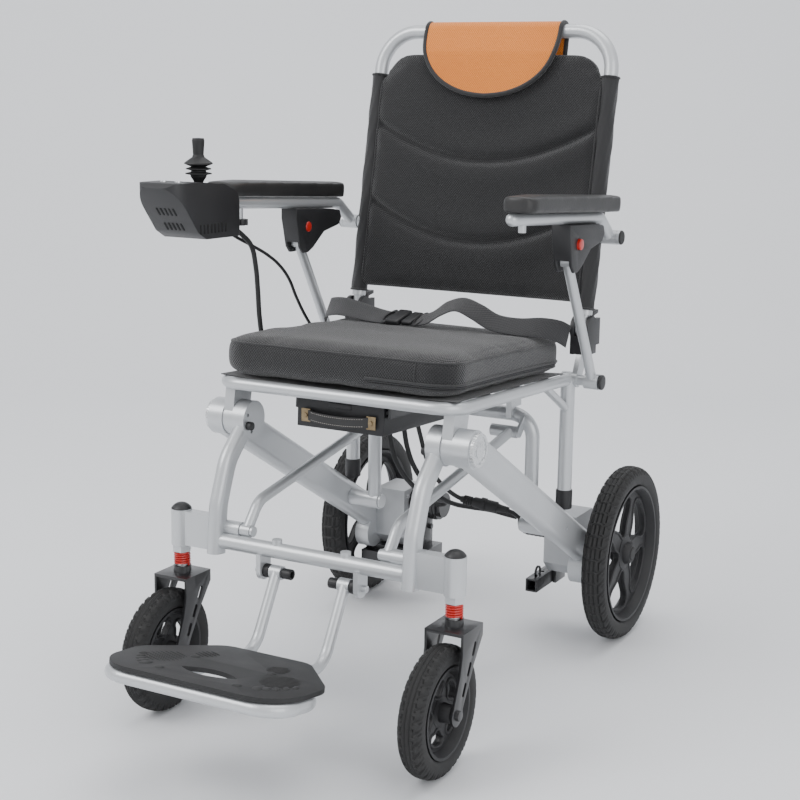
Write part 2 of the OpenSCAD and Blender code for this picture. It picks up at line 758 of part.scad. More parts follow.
module hinge_housings() {
    p = back_hinge;
    color(black) both_sides() {
        for (x = [back_x - 17, back_x + 9 + side])
            xplate(x, x + 7.5 - side) hinge_shape();
        xplate(back_x - 9 - side - 1, back_x + 9 + side + 1) difference() {
            hinge_shape();
            translate(p) circle(hinge_eye_r + 3);
            translate(p + [-40, -12]) square([48, 60]);
            translate(p) rotate(-back_lean - 2) translate([-40, 0]) square([40 + tube_r + 4, 60]);
            translate(lever_at) circle(8);
            translate(lever_at + [-12, 0]) square([30, 20]);
            hull() {
                translate(arm_post_foot + [2, 0]) circle(12.4);
                translate(p + [3, -32]) circle(14.4);
            }
        }
        xrod(p, back_x - 17 + 1, back_x + 16, 6);
        xrod(lever_at, back_x - 14, back_x + 13, 2);
        // round knob on the rear edge
        rod(p3(back_x, p + [33, 4]), p3(back_x, p + [48, 4]), 8);
    }
}

module hinge_shape() {
    translate(back_hinge) circle(22);
    translate(back_hinge + [-18, -44]) square([38, 44]);
    translate(back_hinge + [6, -30]) square([29, 46]);
}

module hinge_lever(s) {
    p = lever_at;
    color(black) difference() {
        union() {
            xrod(p, s * back_x - 7, s * back_x + 7, 5.5);
            xplate(s * back_x - 7, s * back_x + 7)
                polygon([p + [-4, 2], p + [-4, 14], p + [2, 19], p + [24, 21], p + [24, 15], p + [6, 12],
                         p + [4.5, 2]]);
        }
        xrod(p, s * back_x - 8, s * back_x + 8, 2 + run);
    }
}
module hinge_lever_left() { hinge_lever(-1); }
module hinge_lever_right() { hinge_lever(1); }

back_bend = 70;
flap_t = 5;
back_top = back_at(back_len);

module back_tube() {
    color(silver) difference() {
        union() {
            bent_tube([p3(-back_x, back_at(23.5)), p3(-back_x, back_top), p3(back_x, back_top),
                       p3(back_x, back_at(23.5))], tube_r, back_bend);
            both_sides() {
                rod(p3(back_x, back_hinge), p3(back_x, back_at(30)), 8.8);
                xrod(back_hinge, back_x - 9, back_x + 9, hinge_eye_r);
                xrod(arm_pivot, back_x, arm_x + 16, 8);
                xrod(arm_pivot, arm_x + 14 + side, arm_x + 20, 12.5);
                xrod(arm_pivot, back_x, back_x + tube_r + 1, 12);
            }
            xrod(back_at(64), -back_x, back_x, 7);
        }
        both_sides() xrod(back_hinge, back_x - 10, back_x + 10, 6 + run);
    }
}

// slab that follows the backrest's lean, between two distances from the hinge
module back_panel() {
    color(black) translate([0, back_hinge[0], back_hinge[1]]) rotate([-back_lean, 0, 0])
        translate([0, 9, 0]) rotate([90, 0, 0]) linear_extrude(18) hull() for (s = [-1, 1]) {
            translate([s * (back_x - tube_r - soft_gap - 12), 82]) circle(10);
            translate([s * (back_x - tube_r - soft_gap - 62), back_len - tube_r - flap_t - 1 - 60])
                circle(60);
        }
}

module headrest_flap() {
    r = tube_r + soft_gap;
    color(orange) translate([0, back_top[0], back_top[1]]) rotate([-back_lean, 0, 0]) difference() {
        union() {
            rotate([0, 90, 0]) cylinder(h = 264, r = r + flap_t, center = true);
            translate([0, -r - 0.3, 0]) rotate([90, 0, 0]) linear_extrude(flap_t) hull() {
                translate([-130, -30]) square([260, 30]);
                for (s = [-1, 1]) translate([s * 62, -68]) circle(48);
            }
        }
        rotate([0, 90, 0]) cylinder(h = 280, r = r, center = true);
    }
}

// ---- arms ----

arm_end = arm_at(arm_len - 54);
clamp_at = arm_at(arm_len - 88);

module arm_tube(s) {
    x = s * arm_x;
    color(silver) difference() {
        union() {
            bent_tube([p3(x, arm_pivot), p3(x, arm_top), p3(x, arm_end)], arm_r, 24);
            xrod(arm_pivot, x - 14, x + 14, 12.5);
            rod(p3(x, clamp_at), p3(x, clamp_at + [0, s > 0 ? -20 : -26]), 6);
            if (s > 0) translate(p3(x, arm_at(arm_len - 52))) sphere(r = arm_r + 0.2);
        }
        xrod(arm_pivot, x - 15, x + 15, 8 + run);
        if (s < 0) rod(p3(x, clamp_at + [0, -27]), p3(x, clamp_at + [0, -12]), 3.5 + run);
    }
}
module arm_left() { arm_tube(-1); }
module arm_right() { arm_tube(1); }

module arm_pad(s) {
    lift = arm_r + 0.3;
    color(black) translate(p3(s * pad_x, arm_top)) rotate([-arm_slope, 0, 0])
        translate([0, 0, lift]) linear_extrude(25) hull() for (m = [-1, 1]) {
            translate([m * (pad_w / 2 - 16), -4]) circle(14);
            translate([m * (pad_w / 2 - 22), -arm_len + 56]) circle(22);
        }
}
module arm_pad_left() { arm_pad(-1); }
module arm_pad_right() { arm_pad(1); }

bracket_half = 16;
post_half = 9;

module bracket_outline() {
    a = arm_at(44);
    b = arm_at(165);
    polygon([b + [0, -arm_r - 0.3], a + [0, -arm_r - 0.3], a + [26, -14], a + [32, -28], a + [22, -40],
             post_pin + [62, 16], post_pin + [24, -10], post_pin + [8, -17], post_pin + [-8, -17],
             post_pin + [-18, -6], post_pin + [-25, 22], post_pin + [-31, 44]]);
}

module arm_bracket(s) {
    x = s * arm_x;
    color(black) difference() {
        xplate(x - bracket_half, x + bracket_half) bracket_outline();
        // slot that the post's head stands in
        xplate(x - post_half - 1.5, x + post_half + 1.5) union() {
            translate(post_pin) circle(20);
            translate(post_pin + [-10, -40]) square([70, 40]);
        }
        xrod(button_at, x - bracket_half - 1, x + bracket_half + 1, 9 + run);
    }
}
button_at = post_pin + [9, 28];
module arm_bracket_left() { arm_bracket(-1); }
module arm_bracket_right() { arm_bracket(1); }

module arm_button(s) {
    x = s * arm_x;
    color(red) {
        xrod(button_at, x - bracket_half - (s > 0 ? 1 : 5), x + bracket_half + (s > 0 ? 5 : 1), 9);
    }
}
module arm_button_left() { arm_button(-1); }
module arm_button_right() { arm_button(1); }

module arm_post(s) {
    x = s * arm_x;
    color(silver) difference() {
        union() {
            rod(p3(x, arm_post_foot), p3(x, post_pin), post_half - 0.5);
            xrod(arm_post_foot, x - (s > 0 ? 12.5 : 13), x + (s > 0 ? 13 : 12.5), 13.5);
            xrod(post_pin, x - post_half, x + post_half, 9);
        }
        xrod(arm_post_foot, x - 14, x + 14, 9 + run);
    }
}
module arm_post_left() { arm_post(-1); }
module arm_post_right() { arm_post(1); }

// ---- joystick controller, on the left arm ----

ctrl_x = -arm_x - 1;
ctrl_rear = -104;
stick = [-163, 841];

module controller_side() {
    polygon([[-279, 838], [-270, 845], [-210, 845], [-150, 840], [-118, 828], [ctrl_rear, 806],
             [ctrl_rear, 760], [-112, 755], [-200, 756], [-222, 768]]);
}

module controller() {
    color(black) {
        difference() {
            intersection() {
                xplate(ctrl_x - 41, ctrl_x + 41) controller_side();
                translate([ctrl_x, 0, 700]) linear_extrude(200) hull() for (s = [-1, 1]) {
                    translate([s * 13, -251]) circle(28);
                    translate([s * 23, -165]) circle(18);
                    translate([s * 33, ctrl_rear - 8]) circle(8);
                }
            }
            // well for the joystick
            translate([ctrl_x, stick[0], stick[1] - 32]) cylinder(h = 46, r = 17);
            xrod(stick - [0, 18], ctrl_x - 22, ctrl_x + 22, 3.5 + run);
            for (p = button_places) translate([p[0], p[1], 836]) cylinder(h = 12, r = 5 + run);
        }
        // mounting bar back to the arm tube
        rod(p3(-arm_x, arm_at(arm_len - 26)), p3(-arm_x, arm_end), 9);
    }
}
button_places = [for (s = [-1, 1]) [ctrl_x + s * 14, -236]];

module joystick_gimbal() {
    color(black) translate([ctrl_x, stick[0], stick[1] - 18]) difference() {
        union() {
            rotate([0, 90, 0]) cylinder(h = 43, r = 3.5, center = true);
            cylinder(h = 8, r = 10.5, center = true);
        }
        linear_extrude(20, center = true) oval(12.6, 8.4);
        rotate([90, 0, 0]) cylinder(h = 30, r = 1.5 + run, center = true);
    }
}

module joystick() {
    color(rubber) translate([ctrl_x, stick[0], stick[1] - 18]) {
        rotate_extrude()
            polygon([[0, -5], [4, -5], [4, 12], [6, 16], [9, 22], [12.5, 27], [13, 30], [21, 31.5], [21, 33],
                     [12, 35], [12, 37], [20, 39], [20, 40.5], [11.5, 43], [23, 47.5], [22, 49.5], [10, 58],
                     [8.5, 62], [10, 84], [9, 87.5], [0, 88]]);
        rotate([90, 0, 0]) cylinder(h = 23, r = 1.5, center = true);
    }
}

module ctrl_button(i) {
    color(silver) translate([button_places[i][0], button_places[i][1], 838]) cylinder(h = 9.5, r = 5);
}
module power_button() { ctrl_button(0); }
module horn_button() { ctrl_button(1); }

module clamp_knob() {
    translate(p3(-arm_x, clamp_at - [0, 26 + side + 10])) {
        color(black) difference() {
            cylinder(h = 10, r = 14);
            for (a = [0:60:300]) rotate(a) translate([16, 0, -1]) cylinder(h = 12, r = 4.5);
        }
        color(silver) cylinder(h = 10 + side + 12, r = 3.5);
    }
}

module joystick_cable() {
    color(rubber) {
        cord(joystick_route, 4.5, 2, 10, [1, 0, 0.2]);
        cord(branch_route, 3, 2, 8);
    }
}

// ---- belt, plungers ----

belt_z = cushion_z0 + cushion_t;

module lap_belt() {
    color(black) translate([0, seat_front_y, seat_z]) rotate([-seat_slope, 0, 0])
        translate([0, 0, belt_z + soft_gap]) {
            translate([-hx + 8, 205, 0]) cube([2 * hx - 16, 44, 3]);
            translate([-hx + 8, 120, 0]) rotate([0, 0, 12]) cube([150, 42, 4]);
            translate([-72, 128, 0]) cube([48, 46, 12]);
            translate([-26, 128, 0]) rotate([0, 0, 10]) cube([196, 42, 4]);
        }
}

module plunger(s) {
    p = hub + 20 * [cos(200), sin(200)];
    color(black) xrod(p, s > 0 ? leg_x0 - 10 : -leg_x0, s > 0 ? leg_x0 : -leg_x0 + 10, 7);
    color(silver) xrod(p, s > 0 ? leg_x0 : -leg_x0 - 13, s > 0 ? leg_x0 + 13 : -leg_x0, 3);
}
module plunger_left() { plunger(-1); }
module plunger_right() { plunger(1); }

beams();
hub_caps();
gearboxes();
motors();
hitch_brackets();
motor_cables();
tyre_rear_left();
rim_rear_left();
tyre_rear_right();
rim_rear_right();
front_frame();
caster_caps();
stem_left();
stem_right();
spring_left();
spring_right();
fork_left();
fork_right();
tyre_front_left();
rim_front_left();
tyre_front_right();
rim_front_right();
footrest_frame();
footplate();
support_frame();
strut_left();
strut_right();
seat_frame();
stay_tips();
seat_sling();
seat_cushion();
battery_tray();
battery();
battery_handle();
hinge_housings();
hinge_lever_left();
hinge_lever_right();
back_tube();
back_panel();
headrest_flap();
arm_left();
arm_right();
arm_pad_left();
arm_pad_right();
arm_bracket_left();
arm_bracket_right();
arm_button_left();
arm_button_right();
arm_post_left();
arm_post_right();
controller();
joystick_gimbal();
joystick();
power_button();
horn_button();
clamp_knob();
joystick_cable();
lap_belt();
plunger_left();
plunger_right();
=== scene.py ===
import json
import math
import bpy
from mathutils import Matrix, Vector
from mathutils.bvhtree import BVHTree

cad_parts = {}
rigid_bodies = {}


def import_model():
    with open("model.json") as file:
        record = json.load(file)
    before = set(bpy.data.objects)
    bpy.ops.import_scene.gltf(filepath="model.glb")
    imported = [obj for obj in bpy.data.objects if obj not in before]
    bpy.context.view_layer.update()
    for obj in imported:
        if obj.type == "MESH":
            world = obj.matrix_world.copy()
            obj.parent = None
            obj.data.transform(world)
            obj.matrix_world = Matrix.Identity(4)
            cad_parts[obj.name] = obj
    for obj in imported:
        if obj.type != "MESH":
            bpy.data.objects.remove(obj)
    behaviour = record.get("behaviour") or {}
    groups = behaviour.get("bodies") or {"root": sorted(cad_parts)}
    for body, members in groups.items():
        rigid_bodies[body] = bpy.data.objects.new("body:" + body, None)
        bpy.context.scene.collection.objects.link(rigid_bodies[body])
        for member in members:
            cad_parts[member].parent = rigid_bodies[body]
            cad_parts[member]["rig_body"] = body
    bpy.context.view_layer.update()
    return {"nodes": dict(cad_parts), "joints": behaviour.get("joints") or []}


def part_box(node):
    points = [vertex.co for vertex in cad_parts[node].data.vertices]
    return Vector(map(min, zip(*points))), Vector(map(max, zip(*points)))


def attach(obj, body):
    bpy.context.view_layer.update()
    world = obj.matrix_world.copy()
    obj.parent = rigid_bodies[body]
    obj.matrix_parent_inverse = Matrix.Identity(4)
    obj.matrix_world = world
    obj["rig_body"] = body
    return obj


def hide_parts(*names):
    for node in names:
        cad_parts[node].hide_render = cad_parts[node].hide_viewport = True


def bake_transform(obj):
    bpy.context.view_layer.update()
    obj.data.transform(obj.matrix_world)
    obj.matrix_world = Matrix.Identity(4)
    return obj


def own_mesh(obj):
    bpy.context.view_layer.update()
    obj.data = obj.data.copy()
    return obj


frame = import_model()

nodes = frame["nodes"]

# where the chair is looked at from, and how it is lit
studio = {
    "eye": (1.1891, -2.1448, 0.9946),
    "turn": 28.52,
    "dip": 11.65,
    "roll": 0.81,
    "lens": 68.4,
    "world": (0.93, 0.94, 0.96),
    "worldStrength": 1.0,
}


def setStudio():
    camera = bpy.data.objects.new("camera", bpy.data.cameras.new("camera"))
    bpy.context.collection.objects.link(camera)
    camera.data.lens = studio["lens"]
    camera.data.sensor_width = 36
    camera.data.clip_end = 60
    tilt = Matrix.Rotation(math.radians(90 - studio["dip"]), 4, "X")
    turn = Matrix.Rotation(math.radians(studio["turn"]), 4, "Z")
    roll = Matrix.Rotation(math.radians(studio["roll"]), 4, "Z")
    camera.matrix_world = Matrix.Translation(studio["eye"]) @ turn @ tilt @ roll
    bpy.context.scene.camera = camera

    world = bpy.data.worlds.new("studio")
    bpy.context.scene.world = world
    world.use_nodes = True
    sky = world.node_tree.nodes["Background"]
    sky.inputs["Color"].default_value = (*studio["world"], 1)
    sky.inputs["Strength"].default_value = studio["worldStrength"]

    for name, place, aim, size, power in (
            ("key", (-2.2, -2.6, 3.4), (0, 0, 0.5), 2.2, 95),
            ("fill", (3.4, -1.8, 1.9), (0, 0, 0.5), 2.6, 42),
            ("top", (0.2, 0.8, 4.2), (0, 0, 0.4), 3.0, 70)):
        lamp = bpy.data.objects.new(name, bpy.data.lights.new(name, "AREA"))
        lamp.data.energy = power
        lamp.data.size = size
        lamp.location = place
        lamp.rotation_euler = (Vector(aim) - Vector(place)).to_track_quat("-Z", "Y").to_euler()
        bpy.context.collection.objects.link(lamp)


setStudio()
print("studio ready")


# shader maths as plain expressions
class Wire:
    def __init__(self, tree, socket):
        self.tree = tree
        self.socket = socket

    def add(self, kind, settings=None, inputs=None, out=0):
        node = self.tree.nodes.new(kind)
        for name, value in (settings or {}).items():
            setattr(node, name, value)
        for name, value in (inputs or {}).items():
            if isinstance(value, Wire):
                self.tree.links.new(value.socket, node.inputs[name])
            else:
                node.inputs[name].default_value = value
        return Wire(self.tree, node.outputs[out])

    def sum(self, operation, *values):
        return self.add("ShaderNodeMath", {"operation": operation}, dict(enumerate((self, *values))))

    def __add__(self, other):
        return self.sum("ADD", other)

    def __sub__(self, other):
        return self.sum("SUBTRACT", other)

    def __mul__(self, other):
        return self.sum("MULTIPLY", other)

    def __pow__(self, other):
        return self.sum("POWER", other)

    def __neg__(self):
        return self.sum("MULTIPLY", -1)

    def __rsub__(self, other):
        return -self + other

    __radd__ = __add__
    __rmul__ = __mul__

    def mix(self, low, high):  # colours by a mask
        return self.add("ShaderNodeMix", {"data_type": "RGBA"},
                        {0: self, 6: low if isinstance(low, Wire) else (*low, 1),
                         7: high if isinstance(high, Wire) else (*high, 1)}, out=2)


def startMaterial(name, **fixed):
    material = bpy.data.materials.new(name)
    material.use_nodes = True
    tree = material.node_tree
    shader = tree.nodes["Principled BSDF"]
    for socket, value in fixed.items():
        shader.inputs[socket.replace("_", " ")].default_value = value
    coords = tree.nodes.new("ShaderNodeTexCoord")
    return material, shader, Wire(tree, coords.outputs["Object"]), Wire(tree, coords.outputs["Normal"])


def noise(place, scale, detail=3.0, rough=0.5):
    return place.add("ShaderNodeTexNoise", None,
                     {"Vector": place, "Scale": scale, "Detail": detail, "Roughness": rough})


def finish(material, shader, colour, roughness, height=None, depth=0.001, strength=0.4):
    tree = material.node_tree
    tree.links.new(colour.socket, shader.inputs["Base Color"])
    tree.links.new(roughness.socket, shader.inputs["Roughness"])
    if height is not None:
        bump = height.add("ShaderNodeBump", None,
                          {"Height": height, "Distance": depth, "Strength": strength})
        tree.links.new(bump.socket, shader.inputs["Normal"])
    return material


def silverPaint():
    material, shader, place, _ = startMaterial("silverPaint", Metallic=0.55, Coat_Weight=0.25)
    cloud = noise(place, 6)
    flake = noise(place, 900, 1)
    colour = (cloud * 0.7 + flake * 0.3).mix((0.47, 0.485, 0.5), (0.66, 0.675, 0.69))
    return finish(material, shader, colour, cloud * 0.12 + 0.3, noise(place, 420, 2), 0.0002, 0.35)


def castSilver():
    material, shader, place, _ = startMaterial("castSilver", Metallic=0.5)
    cloud = noise(place, 14)
    colour = cloud.mix((0.36, 0.37, 0.385), (0.56, 0.57, 0.58))
    return finish(material, shader, colour, cloud * 0.2 + 0.38, noise(place, 700, 3), 0.0004, 0.6)


def machinedMetal():
    material, shader, place, _ = startMaterial("machinedMetal", Metallic=1.0)
    turned = noise(place, 260, 2)
    colour = turned.mix((0.62, 0.63, 0.64), (0.8, 0.81, 0.82))
    return finish(material, shader, colour, turned * 0.16 + 0.2, turned, 0.0002, 0.3)


def blackPaint():
    material, shader, place, _ = startMaterial("blackPaint", Coat_Weight=0.3)
    cloud = noise(place, 9)
    colour = cloud.mix((0.008, 0.008, 0.009), (0.02, 0.02, 0.022))
    return finish(material, shader, colour, cloud * 0.18 + 0.26, noise(place, 600, 2), 0.0002, 0.3)


def blackPlastic():
    material, shader, place, _ = startMaterial("blackPlastic")
    cloud = noise(place, 12)
    grain = noise(place, 1300, 2)
    colour = cloud.mix((0.008, 0.008, 0.009), (0.022, 0.022, 0.024))
    return finish(material, shader, colour, grain * 0.25 + 0.33, grain, 0.00025, 0.5)


def wheelPlastic():
    material, shader, place, _ = startMaterial("wheelPlastic")
    grain = noise(place, 800, 2)
    colour = noise(place, 16).mix((0.006, 0.006, 0.007), (0.018, 0.018, 0.02))
    return finish(material, shader, colour, grain * 0.22 + 0.42, grain, 0.0003, 0.5)


def softRubber():
    material, shader, place, _ = startMaterial("softRubber")
    cloud = noise(place, 22)
    colour = cloud.mix((0.007, 0.007, 0.0075), (0.02, 0.02, 0.021))
    return finish(material, shader, colour, cloud * 0.2 + 0.5, noise(place, 900, 2), 0.0002, 0.4)


def tyreRubber():
    material, shader, place, _ = startMaterial("tyreRubber")
    dust = noise(place, 18, 5, 0.65)
    colour = (dust ** 2.0).mix((0.006, 0.006, 0.0065), (0.034, 0.033, 0.032))
    return finish(material, shader, colour, dust * 0.3 + 0.5, noise(place, 500, 4), 0.0004, 0.6)


def redGloss():
    material, shader, place, _ = startMaterial("redGloss", Coat_Weight=0.4)
    cloud = noise(place, 30)
    colour = cloud.mix((0.38, 0.008, 0.006), (0.62, 0.02, 0.012))
    return finish(material, shader, colour, cloud * 0.15 + 0.28, noise(place, 300), 0.0002, 0.2)


def split(vector):
    parts = vector.tree.nodes.new("ShaderNodeSeparateXYZ")
    vector.tree.links.new(vector.socket, parts.inputs[0])
    return [Wire(vector.tree, socket) for socket in parts.outputs]


def clothPlane(place, facing):
    # the two ways of the weave, on whichever side of the piece the surface faces
    x, y, z = split(place)
    nx, _, nz = split(facing)
    side = nx.sum("ABSOLUTE").sum("GREATER_THAN", 0.72)
    top = nz.sum("ABSOLUTE").sum("GREATER_THAN", 0.62)
    return x + (y - x) * side, z + (y - z) * top


def meshCloth(name, deep, light, cell, fuzz=0.35):
    # knitted spacer mesh: small round openings in rows, every other row shifted
    material, shader, place, facing = startMaterial(name, Sheen_Weight=fuzz, Sheen_Roughness=0.45)
    step = 2 * math.pi / cell
    u, v = clothPlane(place, facing)
    first = (u * (step / 2) + v * (step * 0.866 / 2)).sum("COSINE")
    second = (u * (step / 2) - v * (step * 0.866 / 2)).sum("COSINE")
    holes = (first * second).sum("ABSOLUTE") ** 0.7
    patchy = noise(place, 7, 4)
    threads = noise(place, 1500, 1)
    # painted shade: the openings take the deep colour and the threads round them the light one; the patchy
    # tone and fibres mixed in are the cloth's own
    shade = holes * 0.72 + patchy * 0.22 + threads * 0.16
    return finish(material, shader, shade.mix(light, deep), patchy * 0.1 + 0.78,
                  1 - holes, cell * 0.3, 0.75)


def plainCloth(name, deep, light, thread):
    # plain weave: over and under threads along both ways of the cloth
    material, shader, place, facing = startMaterial(name, Sheen_Weight=0.25, Sheen_Roughness=0.5)
    step = math.pi / thread
    u, v = clothPlane(place, facing)
    warp = (u * step).sum("SINE")
    weft = (v * step).sum("SINE")
    weave = (warp * weft) * 0.5 + 0.5
    patchy = noise(place, 9, 3)
    # painted shade: the weave's dips take the deep colour and the raised threads the light one; the patchy
    # tone mixed in is the cloth's own
    shade = weave * 0.6 + patchy * 0.4
    return finish(material, shader, shade.mix(deep, light), patchy * 0.12 + 0.66, weave, thread * 0.5, 0.6)


def grainLeather():
    material, shader, place, _ = startMaterial("grainLeather", Coat_Weight=0.1)
    creases = place.add("ShaderNodeTexVoronoi", {"feature": "F1"}, {"Vector": place, "Scale": 420.0})
    cloud = noise(place, 20, 4)
    colour = cloud.mix((0.008, 0.008, 0.0085), (0.024, 0.023, 0.023))
    return finish(material, shader, colour, cloud * 0.2 + 0.4, creases + cloud * 0.3, 0.0004, 0.5)


def threadCloth():
    material, shader, place, _ = startMaterial("stitchThread")
    twist = noise(place, 1200, 1)
    return finish(material, shader, twist.mix((0.16, 0.15, 0.14), (0.42, 0.4, 0.37)), twist * 0.2 + 0.6,
                  twist, 0.0003, 0.4)


def oldBrass():
    material, shader, place, _ = startMaterial("oldBrass", Metallic=0.9)
    wear = noise(place, 160, 4)
    return finish(material, shader, wear.mix((0.16, 0.11, 0.06), (0.42, 0.33, 0.2)), wear * 0.25 + 0.3,
                  wear, 0.0003, 0.4)


def paintedSlotShade():
    # painted shade: near-black colour for the slot pieces that stand in for the shade inside the
    # controller's vent openings
    material, shader, place, _ = startMaterial("paintedSlotShade")
    cloud = noise(place, 60)
    colour = cloud.mix((0.001, 0.001, 0.001), (0.004, 0.004, 0.004))
    return finish(material, shader, colour, cloud * 0.1 + 0.7)


def studioFloor():
    material, shader, place, _ = startMaterial("studioFloor")
    cloud = noise(place, 1.2)
    return finish(material, shader, cloud.mix((0.80, 0.81, 0.83), (0.84, 0.85, 0.87)), cloud * 0.1 + 0.6)


finishes = {
    "brass": oldBrass(),
    "paintedSlotShade": paintedSlotShade(),
    "floor": studioFloor(),
    "silver": silverPaint(),
    "cast": castSilver(),
    "machined": machinedMetal(),
    "blackPaint": blackPaint(),
    "blackPlastic": blackPlastic(),
    "wheelPlastic": wheelPlastic(),
    "rubber": softRubber(),
    "tyre": tyreRubber(),
    "red": redGloss(),
    "seatMesh": meshCloth("seatMesh", (0.002, 0.002, 0.0025), (0.018, 0.018, 0.02), 0.0046),
    "orangeMesh": meshCloth("orangeMesh", (0.6, 0.13, 0.012), (1.0, 0.36, 0.05), 0.0042, 0.2),
    "binding": plainCloth("binding", (0.004, 0.004, 0.0045), (0.022, 0.022, 0.024), 0.0011),
    "webbing": plainCloth("webbing", (0.005, 0.005, 0.006), (0.03, 0.03, 0.033), 0.0019),
    "leather": grainLeather(),
    "thread": threadCloth(),
}
print("finishes ready")

def bothSides(*names):
    return [name + side for name in names for side in ("_left", "_right")]


nodeFinish = {
    "silver": ["beams", "front_frame", "footrest_frame", "support_frame", "seat_frame", "back_tube",
               *bothSides("strut", "arm", "arm_post")],
    "cast": ["gearboxes"],
    "machined": ["hub_caps", "power_button", "horn_button", *bothSides("stem")],
    "blackPaint": ["hitch_brackets", "battery_tray", "motors", *bothSides("fork")],
    "blackPlastic": ["caster_caps", "hinge_housings", "controller", "joystick_gimbal", "clamp_knob",
                     "stay_tips", "battery", *bothSides("hinge_lever", "arm_bracket", "plunger")],
    "wheelPlastic": bothSides("rim_rear", "rim_front"),
    "rubber": ["joystick", "motor_cables", "joystick_cable", "footplate"],
    "tyre": bothSides("tyre_rear", "tyre_front"),
    "red": bothSides("spring", "arm_button"),
    "seatMesh": ["seat_cushion", "seat_sling", "back_panel"],
    "orangeMesh": ["headrest_flap"],
    "webbing": ["lap_belt"],
    "leather": ["battery_handle", *bothSides("arm_pad")],
}
for finishName, names in nodeFinish.items():
    for name in names:
        node = nodes[name]
        node.data.materials.clear()
        node.data.materials.append(finishes[finishName])
print("frame painted")


def deselect():
    if bpy.context.mode != "OBJECT":
        bpy.ops.object.mode_set(mode="OBJECT")
    bpy.ops.object.select_all(action="DESELECT")


def pick(piece):
    deselect()
    piece.select_set(True)
    bpy.context.view_layer.objects.active = piece


def modify(piece, kind, **settings):  # adds a modifier and applies it
    pick(piece)
    modifier = piece.modifiers.new(kind.lower(), kind)
    for name, value in settings.items():
        setattr(modifier, name, value)
    bpy.ops.object.modifier_apply(modifier=modifier.name)


def editAll(piece):
    pick(piece)
    bpy.ops.object.mode_set(mode="EDIT")
    bpy.ops.mesh.select_all(action="SELECT")


def roundShade(piece, angle=35):
    pick(piece)
    bpy.ops.object.shade_smooth_by_angle(angle=math.radians(angle))


def settle(piece, name, finishName, body, *replaced, shade=35):
    pick(piece)
    bpy.ops.object.transform_apply(location=True, rotation=True, scale=True)
    piece.name = name
    piece.data.name = name
    piece.data.materials.clear()
    piece.data.materials.append(finishes[finishName])
    if shade:
        roundShade(piece, shade)
    if replaced:
        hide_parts(*replaced)
    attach(piece, body)
    return piece


def newPiece(name, points, faces):
    mesh = bpy.data.meshes.new(name)
    mesh.from_pydata([tuple(point) for point in points], [], faces)
    mesh.validate()
    piece = bpy.data.objects.new(name, mesh)
    bpy.context.collection.objects.link(piece)
    editAll(piece)
    bpy.ops.mesh.remove_doubles(threshold=0.00001)
    bpy.ops.mesh.normals_make_consistent(inside=False)
    deselect()
    return piece


def gridPiece(name, rows, closed=False):
    count = len(rows[0])
    wide = count if closed else count - 1
    faces = []
    for i in range(len(rows) - 1):
        for j in range(wide):
            here, beside = i * count + j, i * count + (j + 1) % count
            faces.append((here, beside, beside + count, here + count))
    return newPiece(name, [point for row in rows for point in row], faces)


def addLoop(curve, points, closed):
    line = curve.splines.new("BEZIER")
    line.bezier_points.add(len(points) - 1)
    for knot, point in zip(line.bezier_points, points):
        knot.co = point
        knot.handle_left_type = knot.handle_right_type = "AUTO"
    line.use_cyclic_u = closed


def asMesh(name, curve):
    piece = bpy.data.objects.new(name, curve)
    bpy.context.collection.objects.link(piece)
    pick(piece)
    bpy.ops.object.convert(target="MESH")
    return bpy.context.view_layer.objects.active


def tubePiece(name, points, radius, closed=False, sides=3):
    # a round tube along the points
    curve = bpy.data.curves.new(name, "CURVE")
    curve.dimensions = "3D"
    curve.bevel_depth = radius
    curve.bevel_resolution = sides
    curve.use_fill_caps = not closed
    addLoop(curve, points, closed)
    return asMesh(name, curve)


def boxPiece(size, place=(0, 0, 0), turn=(0, 0, 0)):
    bpy.ops.mesh.primitive_cube_add(size=1, location=place, rotation=turn)
    piece = bpy.context.view_layer.objects.active
    piece.scale = size
    pick(piece)
    bpy.ops.object.transform_apply(location=False, rotation=False, scale=True)
    return piece


def joined(pieces, name):
    deselect()
    for piece in pieces:
        piece.select_set(True)
    bpy.context.view_layer.objects.active = pieces[0]
    bpy.ops.object.join()
    pieces[0].name = name
    return pieces[0]


def copyNode(name):
    piece = bpy.data.objects.new(name + "Copy", nodes[name].data.copy())
    bpy.context.collection.objects.link(piece)
    pick(piece)
    bpy.ops.mesh.customdata_custom_splitnormals_clear()
    editAll(piece)
    bpy.ops.mesh.remove_doubles(threshold=0.00002)
    bpy.ops.mesh.dissolve_limited(angle_limit=math.radians(1.2))
    deselect()
    return piece


def sideWord(side):
    return "Left" if side < 0 else "Right"


def finishOf(name):
    return next(key for key, names in nodeFinish.items() if name in names)


# pressed, cast and moulded pieces get the small edge rounding that they are made with
edgeRounding = {
    "controller": 0.006, "hinge_housings": 0.002, "gearboxes": 0.004, "battery": 0.004,
    "hitch_brackets": 0.0008, "battery_tray": 0.0006, "caster_caps": 0.002, "hub_caps": 0.0008,
    "clamp_knob": 0.0018, "stay_tips": 0.0018, "power_button": 0.0008, "horn_button": 0.0008,
}
pairRounding = {"arm_bracket": 0.0022, "fork": 0.0011, "hinge_lever": 0.0014, "plunger": 0.0016,
                "arm_button": 0.0015}
for pairName, width in pairRounding.items():
    edgeRounding.update(dict.fromkeys(bothSides(pairName), width))


def softened(name, width):
    piece = copyNode(name)
    modify(piece, "BEVEL", width=width, segments=3, limit_method="ANGLE", angle_limit=math.radians(38),
           use_clamp_overlap=True)
    return settle(piece, name + "Rounded", finishOf(name), nodes[name]["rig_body"], name)


for name, width in edgeRounding.items():
    softened(name, width)
print("edges rounded")


def frameOf(tilt, origin):  # a plane's own frame: x across, y along, z off its face
    return Matrix.Translation(origin) @ Matrix.Rotation(math.radians(-tilt), 4, "X")


